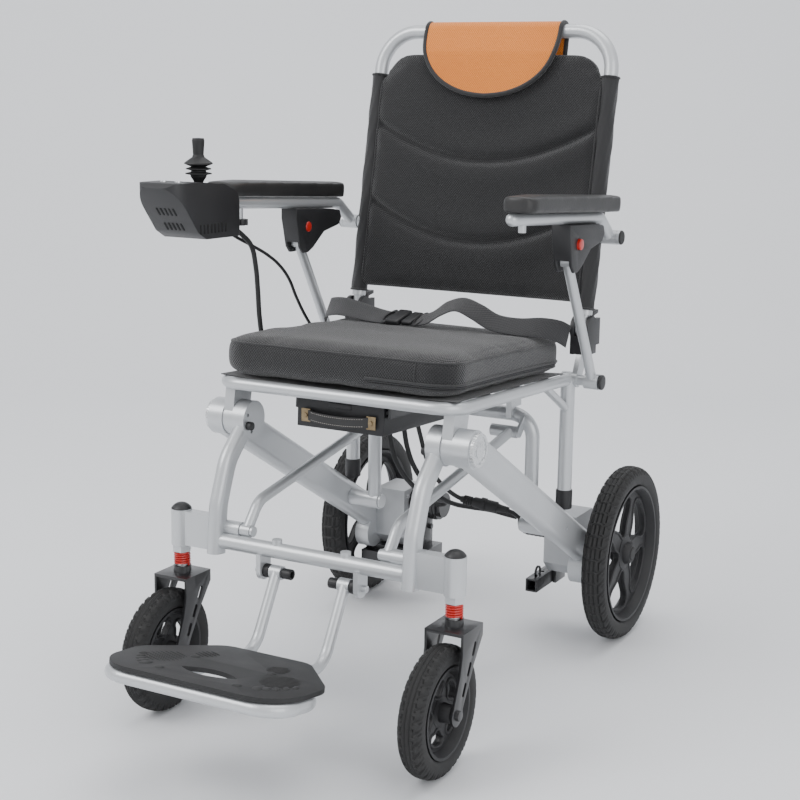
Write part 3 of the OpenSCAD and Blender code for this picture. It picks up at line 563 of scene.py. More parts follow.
def inflate(piece, voxel, cap, pressure=4.0):
    modify(piece, "REMESH", mode="VOXEL", voxel_size=voxel)
    rest = [vertex.co.copy() for vertex in piece.data.vertices]
    pick(piece)
    cloth = piece.modifiers.new("cloth", "CLOTH")
    cloth.settings.use_pressure = True
    cloth.settings.uniform_pressure_force = pressure
    cloth.settings.effector_weights.gravity = 0
    for step in range(1, 21):
        bpy.context.scene.frame_set(step)
    bpy.ops.object.modifier_apply(modifier=cloth.name)
    for vertex, start in zip(piece.data.vertices, rest):
        moved = vertex.co - start
        if moved.length > cap:
            vertex.co = start + moved.normalized() * cap
    bpy.context.scene.frame_set(1)
    modify(piece, "SMOOTH", factor=0.5, iterations=4)


def nearest(piece):
    return BVHTree.FromPolygons([vertex.co for vertex in piece.data.vertices],
                                [face.vertices for face in piece.data.polygons])


seat = {
    "slope": 3.0,
    "front": (0, -0.178, 0.527),
    "halfWidth": 0.217,
    "near": -0.014,
    "far": 0.43,
    "low": 0.0195,
    "high": 0.0715,
    "corner": 0.05,
    "voxel": 0.006,
    "swell": 0.007,
}
seatFrame = frameOf(seat["slope"], seat["front"])


def roundedOutline(half, near, far, corner, steps=8):
    points = []
    for cx, cy, start in ((half - corner, far - corner, 0), (-half + corner, far - corner, 90),
                          (-half + corner, near + corner, 180), (half - corner, near + corner, 270)):
        for k in range(steps + 1):
            angle = math.radians(start + 90 * k / steps)
            points.append((cx + corner * math.cos(angle), cy + corner * math.sin(angle)))
    return points


def slabFrom(outline, low, high, place, name):
    count = len(outline)
    points = [place @ Vector((x, y, z)) for z in (low, high) for x, y in outline]
    faces = [tuple(range(count)), tuple(range(count, 2 * count))]
    faces += [(i, (i + 1) % count, count + (i + 1) % count, count + i) for i in range(count)]
    return newPiece(name, points, faces)


def makeCushion():
    outline = roundedOutline(seat["halfWidth"], seat["near"], seat["far"], seat["corner"])
    piece = slabFrom(outline, seat["low"], seat["high"], seatFrame, "seatCushion")
    modify(piece, "BEVEL", width=0.014, segments=3, limit_method="ANGLE", angle_limit=math.radians(50))
    inflate(piece, seat["voxel"], seat["swell"])
    back = seatFrame.inverted()
    for vertex in piece.data.vertices:
        point = back @ vertex.co
        across = abs(point.x) / seat["halfWidth"]
        along = (point.y - seat["near"]) / (seat["far"] - seat["near"])
        if point.z > 0.045:
            point.z += 0.005 * (1 - across ** 2) * math.sin(math.pi * min(max(along, 0), 1))
            point.z += 0.0012 * math.sin(along * 23 + point.x * 9) * math.sin(point.x * 17 + 2)
        point.z = max(point.z, 0.0133)
        # the sewn edge pulls in a little between the corners
        if abs(point.x) > 0.19:
            pull = 0.004 * math.sin(math.pi * min(max(along, 0), 1))
            point.x -= math.copysign(pull, point.x)
        vertex.co = seatFrame @ point
    modify(piece, "SUBSURF", levels=1, render_levels=1)
    settle(piece, "seatCushion", "seatMesh", "seat", "seat_cushion", shade=60)
    return piece


def aroundSeat(tree, height, off, fromAngle, toAngle, steps=150):
    # points on the cushion's side at one height, found from a squared ring that lies outside it
    points = []
    middle = (seat["near"] + seat["far"]) / 2
    halfLong = (seat["far"] - seat["near"]) / 2 + 0.05
    halfWide = seat["halfWidth"] + 0.05
    for k in range(steps + 1):
        angle = math.radians(fromAngle + (toAngle - fromAngle) * k / steps)
        across, along = math.cos(angle), math.sin(angle)
        reach = (abs(across) ** 7 + abs(along) ** 7) ** (-1 / 7)
        x = halfWide * reach * across
        y = middle + halfLong * reach * along
        start = seatFrame @ Vector((x, y, height))
        aim = seatFrame @ Vector((x * 0.62, middle + (y - middle) * 0.62, height))
        hit, normal, _, _ = tree.ray_cast(start, (aim - start).normalized())
        if hit is not None:
            points.append(hit + normal * off)
    return points


cushion = makeCushion()
cushionTree = nearest(cushion)
pipingLine = aroundSeat(cushionTree, 0.0665, 0.0004, 0, 359)
settle(tubePiece("piping", pipingLine, 0.0017, closed=True), "cushionPiping", "binding", "seat", shade=60)
# the cover's zip runs low round the right side, between two welts
for index, height in enumerate((0.0345, 0.0265)):
    welt = tubePiece("welt", aroundSeat(cushionTree, height, 0.0009, -74, 58), 0.0021)
    settle(welt, "zipWelt" + str(index), "binding", "seat", shade=60)
zipTeeth = tubePiece("zip", aroundSeat(cushionTree, 0.0305, 0.0002, -72, 56), 0.0016, sides=1)
settle(zipTeeth, "zipTeeth", "blackPlastic", "seat", shade=0)
cornerSeam = [seatFrame @ Vector((0.147, -0.1, 0.028 + 0.006 * k)) for k in range(7)]
seamPoints = []
for point in cornerSeam:
    hit, normal, _, _ = cushionTree.ray_cast(point, seatFrame.to_3x3() @ Vector((0, 1, 0)))
    if hit is not None:
        seamPoints.append(hit + normal * 0.0004)
settle(tubePiece("seam", seamPoints, 0.0012), "gussetSeam", "binding", "seat", shade=60)
print("cushion made")


def makeSling():
    rows = []
    for i in range(25):
        along = i / 24
        row = []
        for j in range(25):
            across = j / 24 * 2 - 1
            sag = 0.006 * (1 - across ** 2)
            row.append(seatFrame @ Vector((0.2115 * across, 0.006 + 0.41 * along, 0.0116 - sag)))
        rows.append(row)
    piece = gridPiece("seatSling", rows)
    modify(piece, "SOLIDIFY", thickness=0.0014, offset=0)
    settle(piece, "seatSling", "webbing", "seat", "seat_sling", shade=60)


makeSling()

back = {
    "lean": 10.7,
    "hinge": (0, 0.288, 0.58994),
    "tubeX": 0.226,
    "coverRadius": 0.0148,
    "low": 0.038,
    "sleeveTop": 0.436,
    "voxel": 0.0055,
    "swell": 0.006,
    "channels": ((0.338, 0.058), (0.197, 0.062)),
    "channelHalf": 0.205,
    "channelDepth": 0.0095,
}
backFrame = Matrix.Translation(back["hinge"]) @ Matrix.Rotation(math.radians(-back["lean"]), 4, "X")


def onBack(x, forward, up):  # forward is towards the sitter
    return backFrame @ Vector((x, -forward, up))


def backOutline():
    half = back["tubeX"] + back["coverRadius"] - 0.008
    right = [(half, back["low"]), (half + 0.001, 0.2), (half, back["sleeveTop"] - 0.012),
             (half - 0.006, back["sleeveTop"] - 0.003)]
    for k in range(9):  # round shoulder inside the tube's bend
        angle = math.radians(90 * k / 8)
        right.append((0.158 + 0.054 * math.cos(angle), 0.432 + 0.045 * math.sin(angle)))
    return right + [(-x, z) for x, z in reversed(right)]


def makeBack():
    outline = backOutline()
    place = backFrame @ Matrix.Rotation(math.radians(90), 4, "X")
    piece = slabFrom(outline, -0.0075, 0.0085, place, "backPanel")
    inflate(piece, back["voxel"], back["swell"])
    inverse = backFrame.inverted()
    for vertex in piece.data.vertices:
        point = inverse @ vertex.co
        forward = -point.y
        across = point.x / back["channelHalf"]
        if forward > 0:
            sling = 0.004 * (1 - min(abs(across), 1) ** 2)
            puff = 0.0
            press = 0.0
            for level, drop in back["channels"]:
                line = level - drop * (1 - min(across * across, 1.2))
                away = point.z - line
                reach = 1 if abs(across) < 1 else max(0.0, 1 - (abs(across) - 1) * 14)
                press += back["channelDepth"] * math.exp(-(away / 0.0075) ** 2) * reach
                puff += 0.0035 * math.exp(-((away + 0.028) / 0.024) ** 2) * reach
                puff += 0.0022 * math.exp(-((away - 0.026) / 0.02) ** 2) * reach
            forward += puff - press - sling * 0.5
            point.y = -max(forward, 0.0005)
        vertex.co = backFrame @ point
    modify(piece, "SUBSURF", levels=1, render_levels=1)
    settle(piece, "backPanel", "seatMesh", "backrest", "back_panel", shade=60)
    return piece


backPad = makeBack()
backTree = nearest(backPad)


def dropOnBack(points, off):
    found = []
    toward = backFrame.to_3x3() @ Vector((0, 1, 0))
    for x, z in points:
        hit, normal, _, _ = backTree.ray_cast(onBack(x, 0.09, z), toward)
        if hit is not None:
            found.append(hit + normal * off)
    return found


for index, (level, drop) in enumerate(back["channels"]):
    steps = [-1 + 2 * k / 40 for k in range(41)]
    line = dropOnBack([(back["channelHalf"] * t, level - drop * (1 - t * t)) for t in steps], -0.0002)
    stitch = tubePiece("stitch", line, 0.0009)
    settle(stitch, "channelStitch" + str(index), "binding", "backrest", shade=60)

# bound edges: down both sides of the front panel and over its shoulders
for side in (-1, 1):
    edge = [(side * 0.2145, 0.046 + 0.016 * k) for k in range(25)]
    binding = tubePiece("binding", dropOnBack(edge, 0.0003), 0.0017)
    settle(binding, "sideBinding" + sideWord(side), "binding", "backrest", shade=60)


def makeSleeve(side):
    # cloth sleeve round the tube, a little loose and gathered at its ends
    rows = []
    for i in range(61):
        share = i / 60
        up = back["low"] - 0.006 + share * (back["sleeveTop"] - back["low"] + 0.004)
        row = []
        for j in range(28):
            angle = 2 * math.pi * j / 28
            slack = 0.0006 * math.sin(7 * angle + 40 * share) + 0.0005 * math.sin(3 * angle - 23 * share)
            radius = back["coverRadius"] + slack
            across = side * back["tubeX"] + radius * math.cos(angle)
            row.append(onBack(across, radius * math.sin(angle), up))
        rows.append(row)
    piece = gridPiece("sleeve", rows, closed=True)
    modify(piece, "SOLIDIFY", thickness=0.0012, offset=-1)
    rings = []
    for up in (back["low"] - 0.004, back["sleeveTop"] - 0.004):
        circle = [onBack(side * back["tubeX"] + 0.0154 * math.cos(a / 12 * math.pi),
                         0.0154 * math.sin(a / 12 * math.pi), up) for a in range(24)]
        rings.append(tubePiece("hem", circle, 0.0017, closed=True))
    piece = joined([piece] + rings, "tubeSleeve")
    settle(piece, "tubeSleeve" + sideWord(side), "binding", "backrest", shade=60)


makeSleeve(-1)
makeSleeve(1)
print("backrest made")

headrest = {
    "top": 0.512,
    "radius": 0.0152,
    "halfWidth": 0.131,
    "drop": 0.118,
    "rearDrop": 0.045,
    "thickness": 0.0042,
}


def makeHeadrest():
    radius = headrest["radius"]
    frontFace = 0.0235
    rows = []
    frontSteps = 34
    for i in range(frontSteps + 1):  # front, from its lowest point up
        t = 1 - i / frontSteps
        half = headrest["halfWidth"] * (1 - t ** 2.5) ** 0.5 if t < 1 else 0.004
        half = max(half, 0.004)
        up = headrest["top"] - headrest["drop"] * t
        lean = frontFace - (frontFace - radius) * max(0.0, 1 - t / 0.35)
        rows.append([(half * (j / 24 * 2 - 1), lean, up) for j in range(25)])
    for i in range(1, 13):  # over the tube
        angle = math.pi * i / 12
        half = headrest["halfWidth"]
        rows.append([(half * (j / 24 * 2 - 1), radius * math.cos(angle),
                      headrest["top"] + radius * math.sin(angle)) for j in range(25)])
    for i in range(1, 8):  # down behind
        up = headrest["top"] - headrest["rearDrop"] * i / 7
        rows.append([(headrest["halfWidth"] * (j / 24 * 2 - 1), -radius, up) for j in range(25)])
    points = [[onBack(*point) for point in row] for row in rows]
    piece = gridPiece("headrest", points)
    modify(piece, "SOLIDIFY", thickness=headrest["thickness"], offset=0)
    modify(piece, "SUBSURF", levels=1, render_levels=1)
    settle(piece, "headrestFlap", "orangeMesh", "backrest", "headrest_flap", shade=60)
    rim = [row[0] for row in rows[::-1]] + [row[-1] for row in rows]
    band = tubePiece("band", [onBack(*point) for point in rim], 0.0042, closed=True)
    settle(band, "headrestBinding", "binding", "backrest", shade=60)


makeHeadrest()
print("headrest made")


def curvePoint(a, b, c, d, t):  # smooth curve between b and c
    return 0.5 * (2 * b + (c - a) * t + (2 * a - 5 * b + 4 * c - d) * t * t
                  + (3 * b - a - 3 * c + d) * t ** 3)


def ribbonPiece(name, path, width, thickness):
    # flat webbing: each row of the path gives a place and the way its width lies
    rows = []
    last = len(path) - 1
    smooth = 9
    for i in range(last):
        knots = [path[min(max(i + k, 0), last)][0] for k in (-1, 0, 1, 2)]
        lies = [Vector(path[i + k][1]) for k in (0, 1)]
        for k in range(smooth + (i == last - 1)):
            t = k / smooth
            place = [curvePoint(*four, t) for four in zip(*knots)]
            lie = lies[0].lerp(lies[1], t).normalized() * width
            rows.append([Vector(place) + lie * (j / 6 - 0.5) for j in range(7)])
    piece = gridPiece(name, rows)
    modify(piece, "SOLIDIFY", thickness=thickness, offset=0)
    modify(piece, "BEVEL", width=thickness * 0.35, segments=2, limit_method="ANGLE")
    return piece


belt = {
    "width": 0.04,
    "thickness": 0.0018,
    "left": [((-0.232, 0.196, 0.590), (0, 0.6, 0.75)), ((-0.222, 0.178, 0.603), (0, 0.55, 0.8)),
             ((-0.186, 0.160, 0.6105), (0.1, 0.7, 0.7)), ((-0.142, 0.146, 0.6085), (0.1, 0.8, 0.55)),
             ((-0.098, 0.134, 0.6045), (0.1, 0.85, 0.42)), ((-0.056, 0.126, 0.603), (0.08, 0.9, 0.3))],
    "right": [((-0.016, 0.122, 0.604), (0.0, 0.92, 0.3)), ((0.012, 0.121, 0.611), (-0.1, 0.9, 0.42)),
              ((0.042, 0.120, 0.630), (-0.2, 0.88, 0.45)), ((0.070, 0.121, 0.6385), (0, 0.88, 0.46)),
              ((0.098, 0.126, 0.628), (0.2, 0.86, 0.45)), ((0.126, 0.134, 0.612), (0.12, 0.84, 0.5)),
              ((0.160, 0.148, 0.6055), (0, 0.8, 0.6)), ((0.196, 0.163, 0.6055), (0, 0.7, 0.7)),
              ((0.222, 0.182, 0.599), (0, 0.6, 0.8)), ((0.234, 0.200, 0.588), (0, 0.5, 0.85))],
    "buckle": (-0.036, 0.124, 0.606),
}


def makeBelt():
    halves = [ribbonPiece("half", belt[side], belt["width"], belt["thickness"])
              for side in ("left", "right")]
    webbing = joined(halves, "lapBelt")
    settle(webbing, "lapBelt", "webbing", "seat", "lap_belt", shade=50)
    parts = []
    turn = (math.radians(16), 0, math.radians(-6))
    for shift, size in (((-0.012, 0, 0), (0.026, 0.05, 0.011)), ((0.014, 0, 0.0005), (0.02, 0.044, 0.008))):
        part = boxPiece(size, Vector(belt["buckle"]) + Vector(shift), turn)
        modify(part, "BEVEL", width=0.003, segments=3)
        parts.append(part)
    for shift in (-0.03, 0.03):  # prongs and the free tail's keeper
        bpy.ops.mesh.primitive_torus_add(location=Vector(belt["buckle"]) + Vector((shift, 0, 0.001)),
                                         rotation=(math.radians(16), 0, 0), major_radius=0.011,
                                         minor_radius=0.0022, major_segments=24, minor_segments=8)
        ring = bpy.context.view_layer.objects.active
        ring.scale = (0.6, 2.1, 1)
        pick(ring)
        bpy.ops.object.transform_apply(location=False, rotation=False, scale=True)
        parts.append(ring)
    settle(joined(parts, "buckle"), "beltBuckle", "blackPlastic", "seat")


makeBelt()


padSlope = 0.0559  # the arm pads fall by this share towards the back


def makePad(side):
    name = "arm_pad_" + sideWord(side).lower()
    low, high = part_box(name)
    piece = copyNode(name)
    modify(piece, "REMESH", mode="VOXEL", voxel_size=0.003)
    modify(piece, "SMOOTH", factor=0.5, iterations=14)
    middle = (low.x + high.x) / 2
    long = high.y - low.y
    for vertex in piece.data.vertices:
        along = (vertex.co.y - low.y) / long
        across = (vertex.co.x - middle) / ((high.x - low.x) / 2)
        slope = -padSlope * (vertex.co.y - low.y)
        lift = vertex.co.z - (low.z + padSlope * long + slope)
        if lift > 0.012:
            vertex.co.z += 0.0026 * (1 - across * across) - 0.0035 * max(0.0, 0.16 - along) / 0.16
            vertex.co.z -= 0.0022 * math.exp(-((abs(across) - 0.62) / 0.12) ** 2) * (0.15 < along < 0.93)
        vertex.co.x -= across * 0.0022 * math.sin(math.pi * along)
    modify(piece, "SMOOTH", factor=0.5, iterations=3)
    settle(piece, "armPad" + sideWord(side), "leather", "arm_" + sideWord(side).lower(), name, shade=60)


makePad(-1)
makePad(1)
print("belt and pads made")

wheelKinds = {
    "rear": {"centre": (0.2685, 0.4155, 0.16), "width": 0.051, "rim": 0.1235, "blocks": 46,
             "grooves": (0.1, 0.47), "shoulder": 0.5, "deep": 0.0026,
             "spokes": 5, "waist": 0.008, "hub": 0.026, "depth": 0.0085},
    "front": {"centre": (0.247, -0.2815, 0.1), "width": 0.046, "rim": 0.068, "blocks": 34,
              "grooves": (0.13, 0.42), "shoulder": 0.48, "deep": 0.0024,
              "spokes": 5, "waist": 0.006, "hub": 0.019, "depth": 0.0075},
}


def pieceWord(name):
    return name.title().replace("_", "")


def kindOf(name):
    return wheelKinds["rear" if "rear" in name else "front"]


def treadDepth(kind, angle, across):
    # depth of the tread's cuts at one place; across runs -1 to 1 over the tyre
    depth = 0.0
    blocks = kind["blocks"]
    turn = (angle / (2 * math.pi) * blocks + 0.22 * abs(across) * 3) % 1
    for groove in kind["grooves"]:
        wave = 0.03 * math.sin(angle * blocks)
        depth = max(depth, 1 if abs(abs(across) - groove - wave) < 0.055 else 0)
    if abs(across) > kind["shoulder"] and turn < 0.27:
        depth = 1
    if abs(across) > kind["shoulder"] + 0.3 and (turn + 0.5) % 1 < 0.16:
        depth = 1
    return depth * kind["deep"]


def makeTyre(name):
    kind = kindOf(name)
    low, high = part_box(name)
    centre = Vector(((low.x + high.x) / 2, (low.y + high.y) / 2, (low.z + high.z) / 2))
    radius = (high.z - low.z) / 2
    half = (high.x - low.x) / 2
    rim = kind["rim"]
    steps = kind["blocks"] * 11
    profile = []
    for k in range(33):  # over the tread and down both walls
        t = math.radians(-128 + 256 * k / 32)
        wide = math.sin(t)
        tall = math.cos(t)
        x = half * 0.99 * math.copysign(abs(wide) ** 0.85, wide)
        r = radius - half * 0.88 * (1 - math.copysign(abs(tall) ** 0.75, tall))
        profile.append((x, max(r, rim - 0.002), math.degrees(t)))
    profile = [(-half * 0.55, rim, -180)] + profile + [(half * 0.55, rim, 180)]
    rows = []
    for i in range(steps):
        angle = 2 * math.pi * i / steps
        row = []
        for x, r, turn in profile:
            across = turn / 62
            if abs(across) > 1.28:  # fine rings on the walls
                cut = 0.0006 * (math.sin(turn * 0.9) > 0.6)
            else:
                cut = treadDepth(kind, angle, across)
            row.append(centre + Vector((x, (r - cut) * math.cos(angle), (r - cut) * math.sin(angle))))
        rows.append(row)
    rows.append(rows[0])
    piece = gridPiece(name, rows)
    settle(piece, "tread" + pieceWord(name), "tyre", nodes[name]["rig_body"], name, shade=32)


for name in bothSides("tyre_rear", "tyre_front"):
    makeTyre(name)
print("tyres made")


def openingOutline(kind, outer, index):
    # a rounded, heart-like opening between two spokes, wide at the rim
    gap = 2 * math.pi / kind["spokes"]
    middle = gap * (index + 0.5)
    inner = kind["hub"] + 0.006
    points = []
    corners = [(inner, 0.0), (inner + (outer - inner) * 0.34, -0.30), (outer - 0.011, -0.41),
               (outer - 0.003, -0.34), (outer, -0.2), (outer, 0.0), (outer, 0.2), (outer - 0.003, 0.34),
               (outer - 0.011, 0.41), (inner + (outer - inner) * 0.34, 0.30)]
    for r, share in corners:
        pinch = kind["waist"] / r * 0.35
        angle = middle + share * (gap - pinch)
        points.append((r * math.cos(angle), r * math.sin(angle)))
    return points


def discWithHoles(name, outer, holes, half, edge):
    curve = bpy.data.curves.new(name, "CURVE")
    curve.dimensions = "2D"
    curve.fill_mode = "BOTH"
    curve.extrude = half
    curve.bevel_depth = edge
    curve.bevel_resolution = 3
    angles = [a * math.pi / 32 for a in range(64)]
    for loop in [[(outer * math.cos(a), outer * math.sin(a)) for a in angles]] + holes:
        addLoop(curve, [(x, y, 0) for x, y in loop], True)
    return asMesh(name, curve)


def revolve(name, profile, steps=72):
    # profile of (x, radius) points spun about the X axis
    rows = []
    for i in range(steps):
        angle = 2 * math.pi * i / steps
        rows.append([Vector((x, r * math.cos(angle), r * math.sin(angle))) for x, r in profile])
    rows.append(rows[0])
    return gridPiece(name, rows)


def makeRim(name):
    low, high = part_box(name)
    kind = kindOf(name)
    side = -1 if name.endswith("left") else 1
    x, y, z = kind["centre"]
    centre = Vector((side * x, y, z))
    outer, hub, depth = kind["rim"], kind["hub"], kind["depth"]
    wide = kind["width"] * 0.36
    well = [(wide - 0.006, outer - 0.0075), (wide + 0.002, outer - 0.003), (wide + 0.002, outer + 0.0015)]
    barrel = [(-x, r) for x, r in reversed(well)] + [(0, outer - 0.0115)] + well + [(0, outer - 0.001)]
    parts = [revolve("barrel", barrel + barrel[:1])]
    holes = [openingOutline(kind, outer - 0.016, i) for i in range(kind["spokes"])]
    web = discWithHoles("web", outer - 0.009, holes, depth * 0.4, 0.0016)
    quarter = Matrix.Rotation(math.radians(90), 4, "Y") @ Matrix.Rotation(math.radians(90), 4, "Z")
    web.data.transform(quarter)
    parts.append(web)
    for hole in holes:  # raised lip round every opening, on both faces
        for face in (-1, 1):
            line = [quarter @ Vector((x, y, face * depth * 0.55)) for x, y in hole]
            parts.append(tubePiece("lip", line, 0.0026, closed=True))
    hubWide = min(abs(low.x - centre.x), abs(high.x - centre.x))
    flank = [(depth * 0.7, hub * 1.22), (depth, hub * 0.8), (hubWide - 0.003, hub * 0.72),
             (hubWide, hub * 0.62), (hubWide, 0.0)]
    parts.append(revolve("hub", [(-x, r) for x, r in reversed(flank)] + flank, 48))
    wheel = joined(parts, "wheel")
    wheel.data.transform(Matrix.Translation(centre))
    wheel.data.update()
    settle(wheel, "wheel" + pieceWord(name), "wheelPlastic", nodes[name]["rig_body"], name, shade=32)
    cap = revolve("cap", [(hubWide - 0.0015, hub * 0.5), (hubWide + 0.0005, hub * 0.5),
                          (hubWide + 0.002, hub * 0.44), (hubWide + 0.0024, 0.0)], 40)
    outward = Matrix.Rotation(math.pi, 4, "Z") if side < 0 else Matrix()
    cap.data.transform(Matrix.Translation(centre) @ outward)
    settle(cap, "hubCap" + pieceWord(name), "rubber", nodes[name]["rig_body"], shade=40)


for name in bothSides("rim_rear", "rim_front"):
    makeRim(name)
print("wheels made")

mat = {
    "tilt": 8.7,
    "rear": (0, -0.356, 0.157),
    "face": 0.007,
    "toe": 0.0015,
    "footX": 0.094,
    "footY": 0.112,
    "turn": 24,
}
matFrame = Matrix.Translation(mat["rear"]) @ Matrix.Rotation(math.radians(-mat["tilt"]), 4, "X")


def domed(place, long, wide, tall, turn):
    bpy.ops.mesh.primitive_uv_sphere_add(segments=16, ring_count=8, radius=1)
    dome = bpy.context.view_layer.objects.active
    dome.data.transform(matFrame @ Matrix.Translation((*place, mat["face"])) @ Matrix.Rotation(turn, 4, "Z")
                        @ Matrix.Diagonal((wide, long, tall, 1)))
    return dome


def makeFootMat():
    piece = copyNode("footplate")
    modify(piece, "BEVEL", width=0.0018, segments=3, limit_method="ANGLE", angle_limit=math.radians(45),
           use_clamp_overlap=True)
    settle(piece, "footMat", "rubber", "footrest", "footplate")
    details = []
    for side in (-1, 1):
        turn = math.radians(mat["turn"]) * side
        ahead = Vector((math.sin(turn), -math.cos(turn), 0))
        across = Vector((math.cos(turn), math.sin(turn), 0))
        middle = Vector((side * mat["footX"], -mat["footY"], 0))
        for k in range(9):  # ribs under the ball of the foot
            shift = (k - 4) * 0.0068
            reach = 0.03 * (1 - (shift / 0.034) ** 2) ** 0.5
            spot = middle + ahead * (0.012 + shift)
            details.append(domed((spot.x, spot.y), 0.0014, reach, mat["toe"], turn))
        for k in range(5):  # ribs under the heel
            shift = (k - 2) * 0.0068
            reach = 0.018 * (1 - (shift / 0.02) ** 2) ** 0.5
            spot = middle - ahead * (0.052 - shift) - across * side * 0.012
            details.append(domed((spot.x, spot.y), 0.0014, reach, mat["toe"], turn))
        for k, size in enumerate((0.0095, 0.0078, 0.0072, 0.0066, 0.006)):  # toes
            spread = -side * (0.024 - 0.0125 * k)
            bow = 0.056 - 0.0028 * k * k * 0.5
            spot = middle + ahead * bow + across * spread
            details.append(domed((spot.x, spot.y), size * 1.25, size * 0.8, mat["toe"] * 1.3, turn))
    for x in (-0.066, 0.066):
        for y in (0.094, 0.18):
            details.append(domed((x, -y), 0.0075, 0.0075, 0.0022, 0))
    settle(joined(details, "relief"), "footMatRelief", "rubber", "footrest", shade=60)


makeFootMat()
print("foot mat made")

# the cables' routes, as listed points: in the seat's harness, down to the motors, and from the joystick
routes = {
    "joystick": [
        (-0.25, -0.102, 0.769), (-0.25, -0.082, 0.764), (-0.247, -0.055, 0.749), (-0.244, -0.035, 0.73),
        (-0.242, -0.026, 0.698), (-0.241, -0.021, 0.655), (-0.24, -0.018, 0.61), (-0.239, -0.01, 0.57),
        (-0.237, 0.004, 0.535), (-0.232, 0.013, 0.511), (-0.213, 0.02, 0.49), (-0.172, 0.026, 0.483),
        (-0.13, 0.034, 0.48), (-0.1, 0.04, 0.48),
    ],
    "branch": [
        (-0.264, -0.102, 0.762), (-0.264, -0.08, 0.758), (-0.261, -0.05, 0.744), (-0.257, -0.01, 0.727),
        (-0.253, 0.03, 0.708), (-0.251, 0.062, 0.688), (-0.25, 0.09, 0.662), (-0.249, 0.112, 0.628),
        (-0.247, 0.14, 0.59), (-0.244, 0.18, 0.548), (-0.24, 0.212, 0.52), (-0.232, 0.228, 0.504),
        (-0.2225, 0.232, 0.496),
    ],
    "battery": [
        (-0.062, 0.0922, 0.482), (-0.063, 0.108, 0.474), (-0.069, 0.128, 0.44), (-0.072, 0.138, 0.405),
        (-0.068, 0.142, 0.37), (-0.058, 0.15, 0.335), (-0.044, 0.17, 0.302), (-0.034, 0.205, 0.274),
        (-0.03, 0.25, 0.256), (-0.04, 0.3, 0.24), (-0.058, 0.334, 0.224), (-0.072, 0.346, 0.218),
        (-0.084, 0.35, 0.215),
    ],
    "batteryTwo": [
        (-0.042, 0.0922, 0.482), (-0.043, 0.112, 0.474), (-0.048, 0.138, 0.438), (-0.05, 0.152, 0.405),
        (-0.046, 0.158, 0.37), (-0.036, 0.166, 0.335), (-0.02, 0.182, 0.302), (-0.004, 0.205, 0.276),
        (0.006, 0.24, 0.256), (0.022, 0.28, 0.242), (0.046, 0.319, 0.23), (0.068, 0.343, 0.219),
        (0.084, 0.35, 0.215),
    ],
    "link": [
        (-0.02, 0.0922, 0.482), (-0.021, 0.114, 0.474), (-0.024, 0.144, 0.434), (-0.022, 0.16, 0.396),
        (-0.014, 0.172, 0.35), (0, 0.19, 0.31), (0.022, 0.206, 0.284), (0.04, 0.213, 0.274),
    ],
    "linkTwo": [
        (0.121, 0.221, 0.265), (0.127, 0.236, 0.257), (0.129, 0.258, 0.244), (0.132, 0.288, 0.227),
        (0.139, 0.314, 0.214), (0.147, 0.327, 0.208),
    ],
}


def connectorBody(start, end):
    # waterproof connector: ribbed boots, body and a ring nut
    long = (end - start).length
    turn = Vector((1, 0, 0)).rotation_difference((end - start).normalized()).to_matrix().to_4x4()
    profile = [(0, 0.0), (0, 0.0055), (0.004, 0.0062)]
    for k in range(4):
        rib = 0.006 + 0.004 * k
        profile += [(rib, 0.0086), (rib + 0.0025, 0.0086), (rib + 0.003, 0.0066)]
    profile += [(0.026, 0.0095), (0.038, 0.0095), (0.0385, 0.0118), (0.047, 0.0118), (0.0475, 0.0102),
                (0.068, 0.0102), (0.069, 0.0078), (0.078, 0.0064), (long, 0.0056), (long, 0.0)]
    body = revolve("connector", profile, 32)
    body.data.transform(Matrix.Translation(start) @ turn)
    return body


def makeCables():
    thick = {"joystick": 0.0045, "branch": 0.003, "battery": 0.0045, "batteryTwo": 0.0045, "link": 0.004,
             "linkTwo": 0.004}
    upper = [tubePiece(name, routes[name], thick[name]) for name in ("joystick", "branch")]
    for piece in upper:
        modify(piece, "SUBSURF", levels=1, render_levels=1)
    harness = joined(upper, "joystickCable")
    settle(harness, "joystickCable", "rubber", "backrest", "joystick_cable", shade=60)
    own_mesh(harness)
    lower = [tubePiece(name, routes[name], thick[name])
             for name in ("battery", "batteryTwo", "link", "linkTwo")]
    lower.append(connectorBody(Vector((0.036, 0.211, 0.276)), Vector((0.124, 0.222, 0.265))))
    loom = joined(lower, "motorCables")
    settle(loom, "motorCables", "rubber", "seat", "motor_cables", shade=45)
    loom.parent = None
    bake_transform(loom)


makeCables()

handle = {
    "half": 0.059,
    "bow": 0.0125,
    "width": 0.017,
    "thickness": 0.0032,
    "pitch": 0.0038,
}


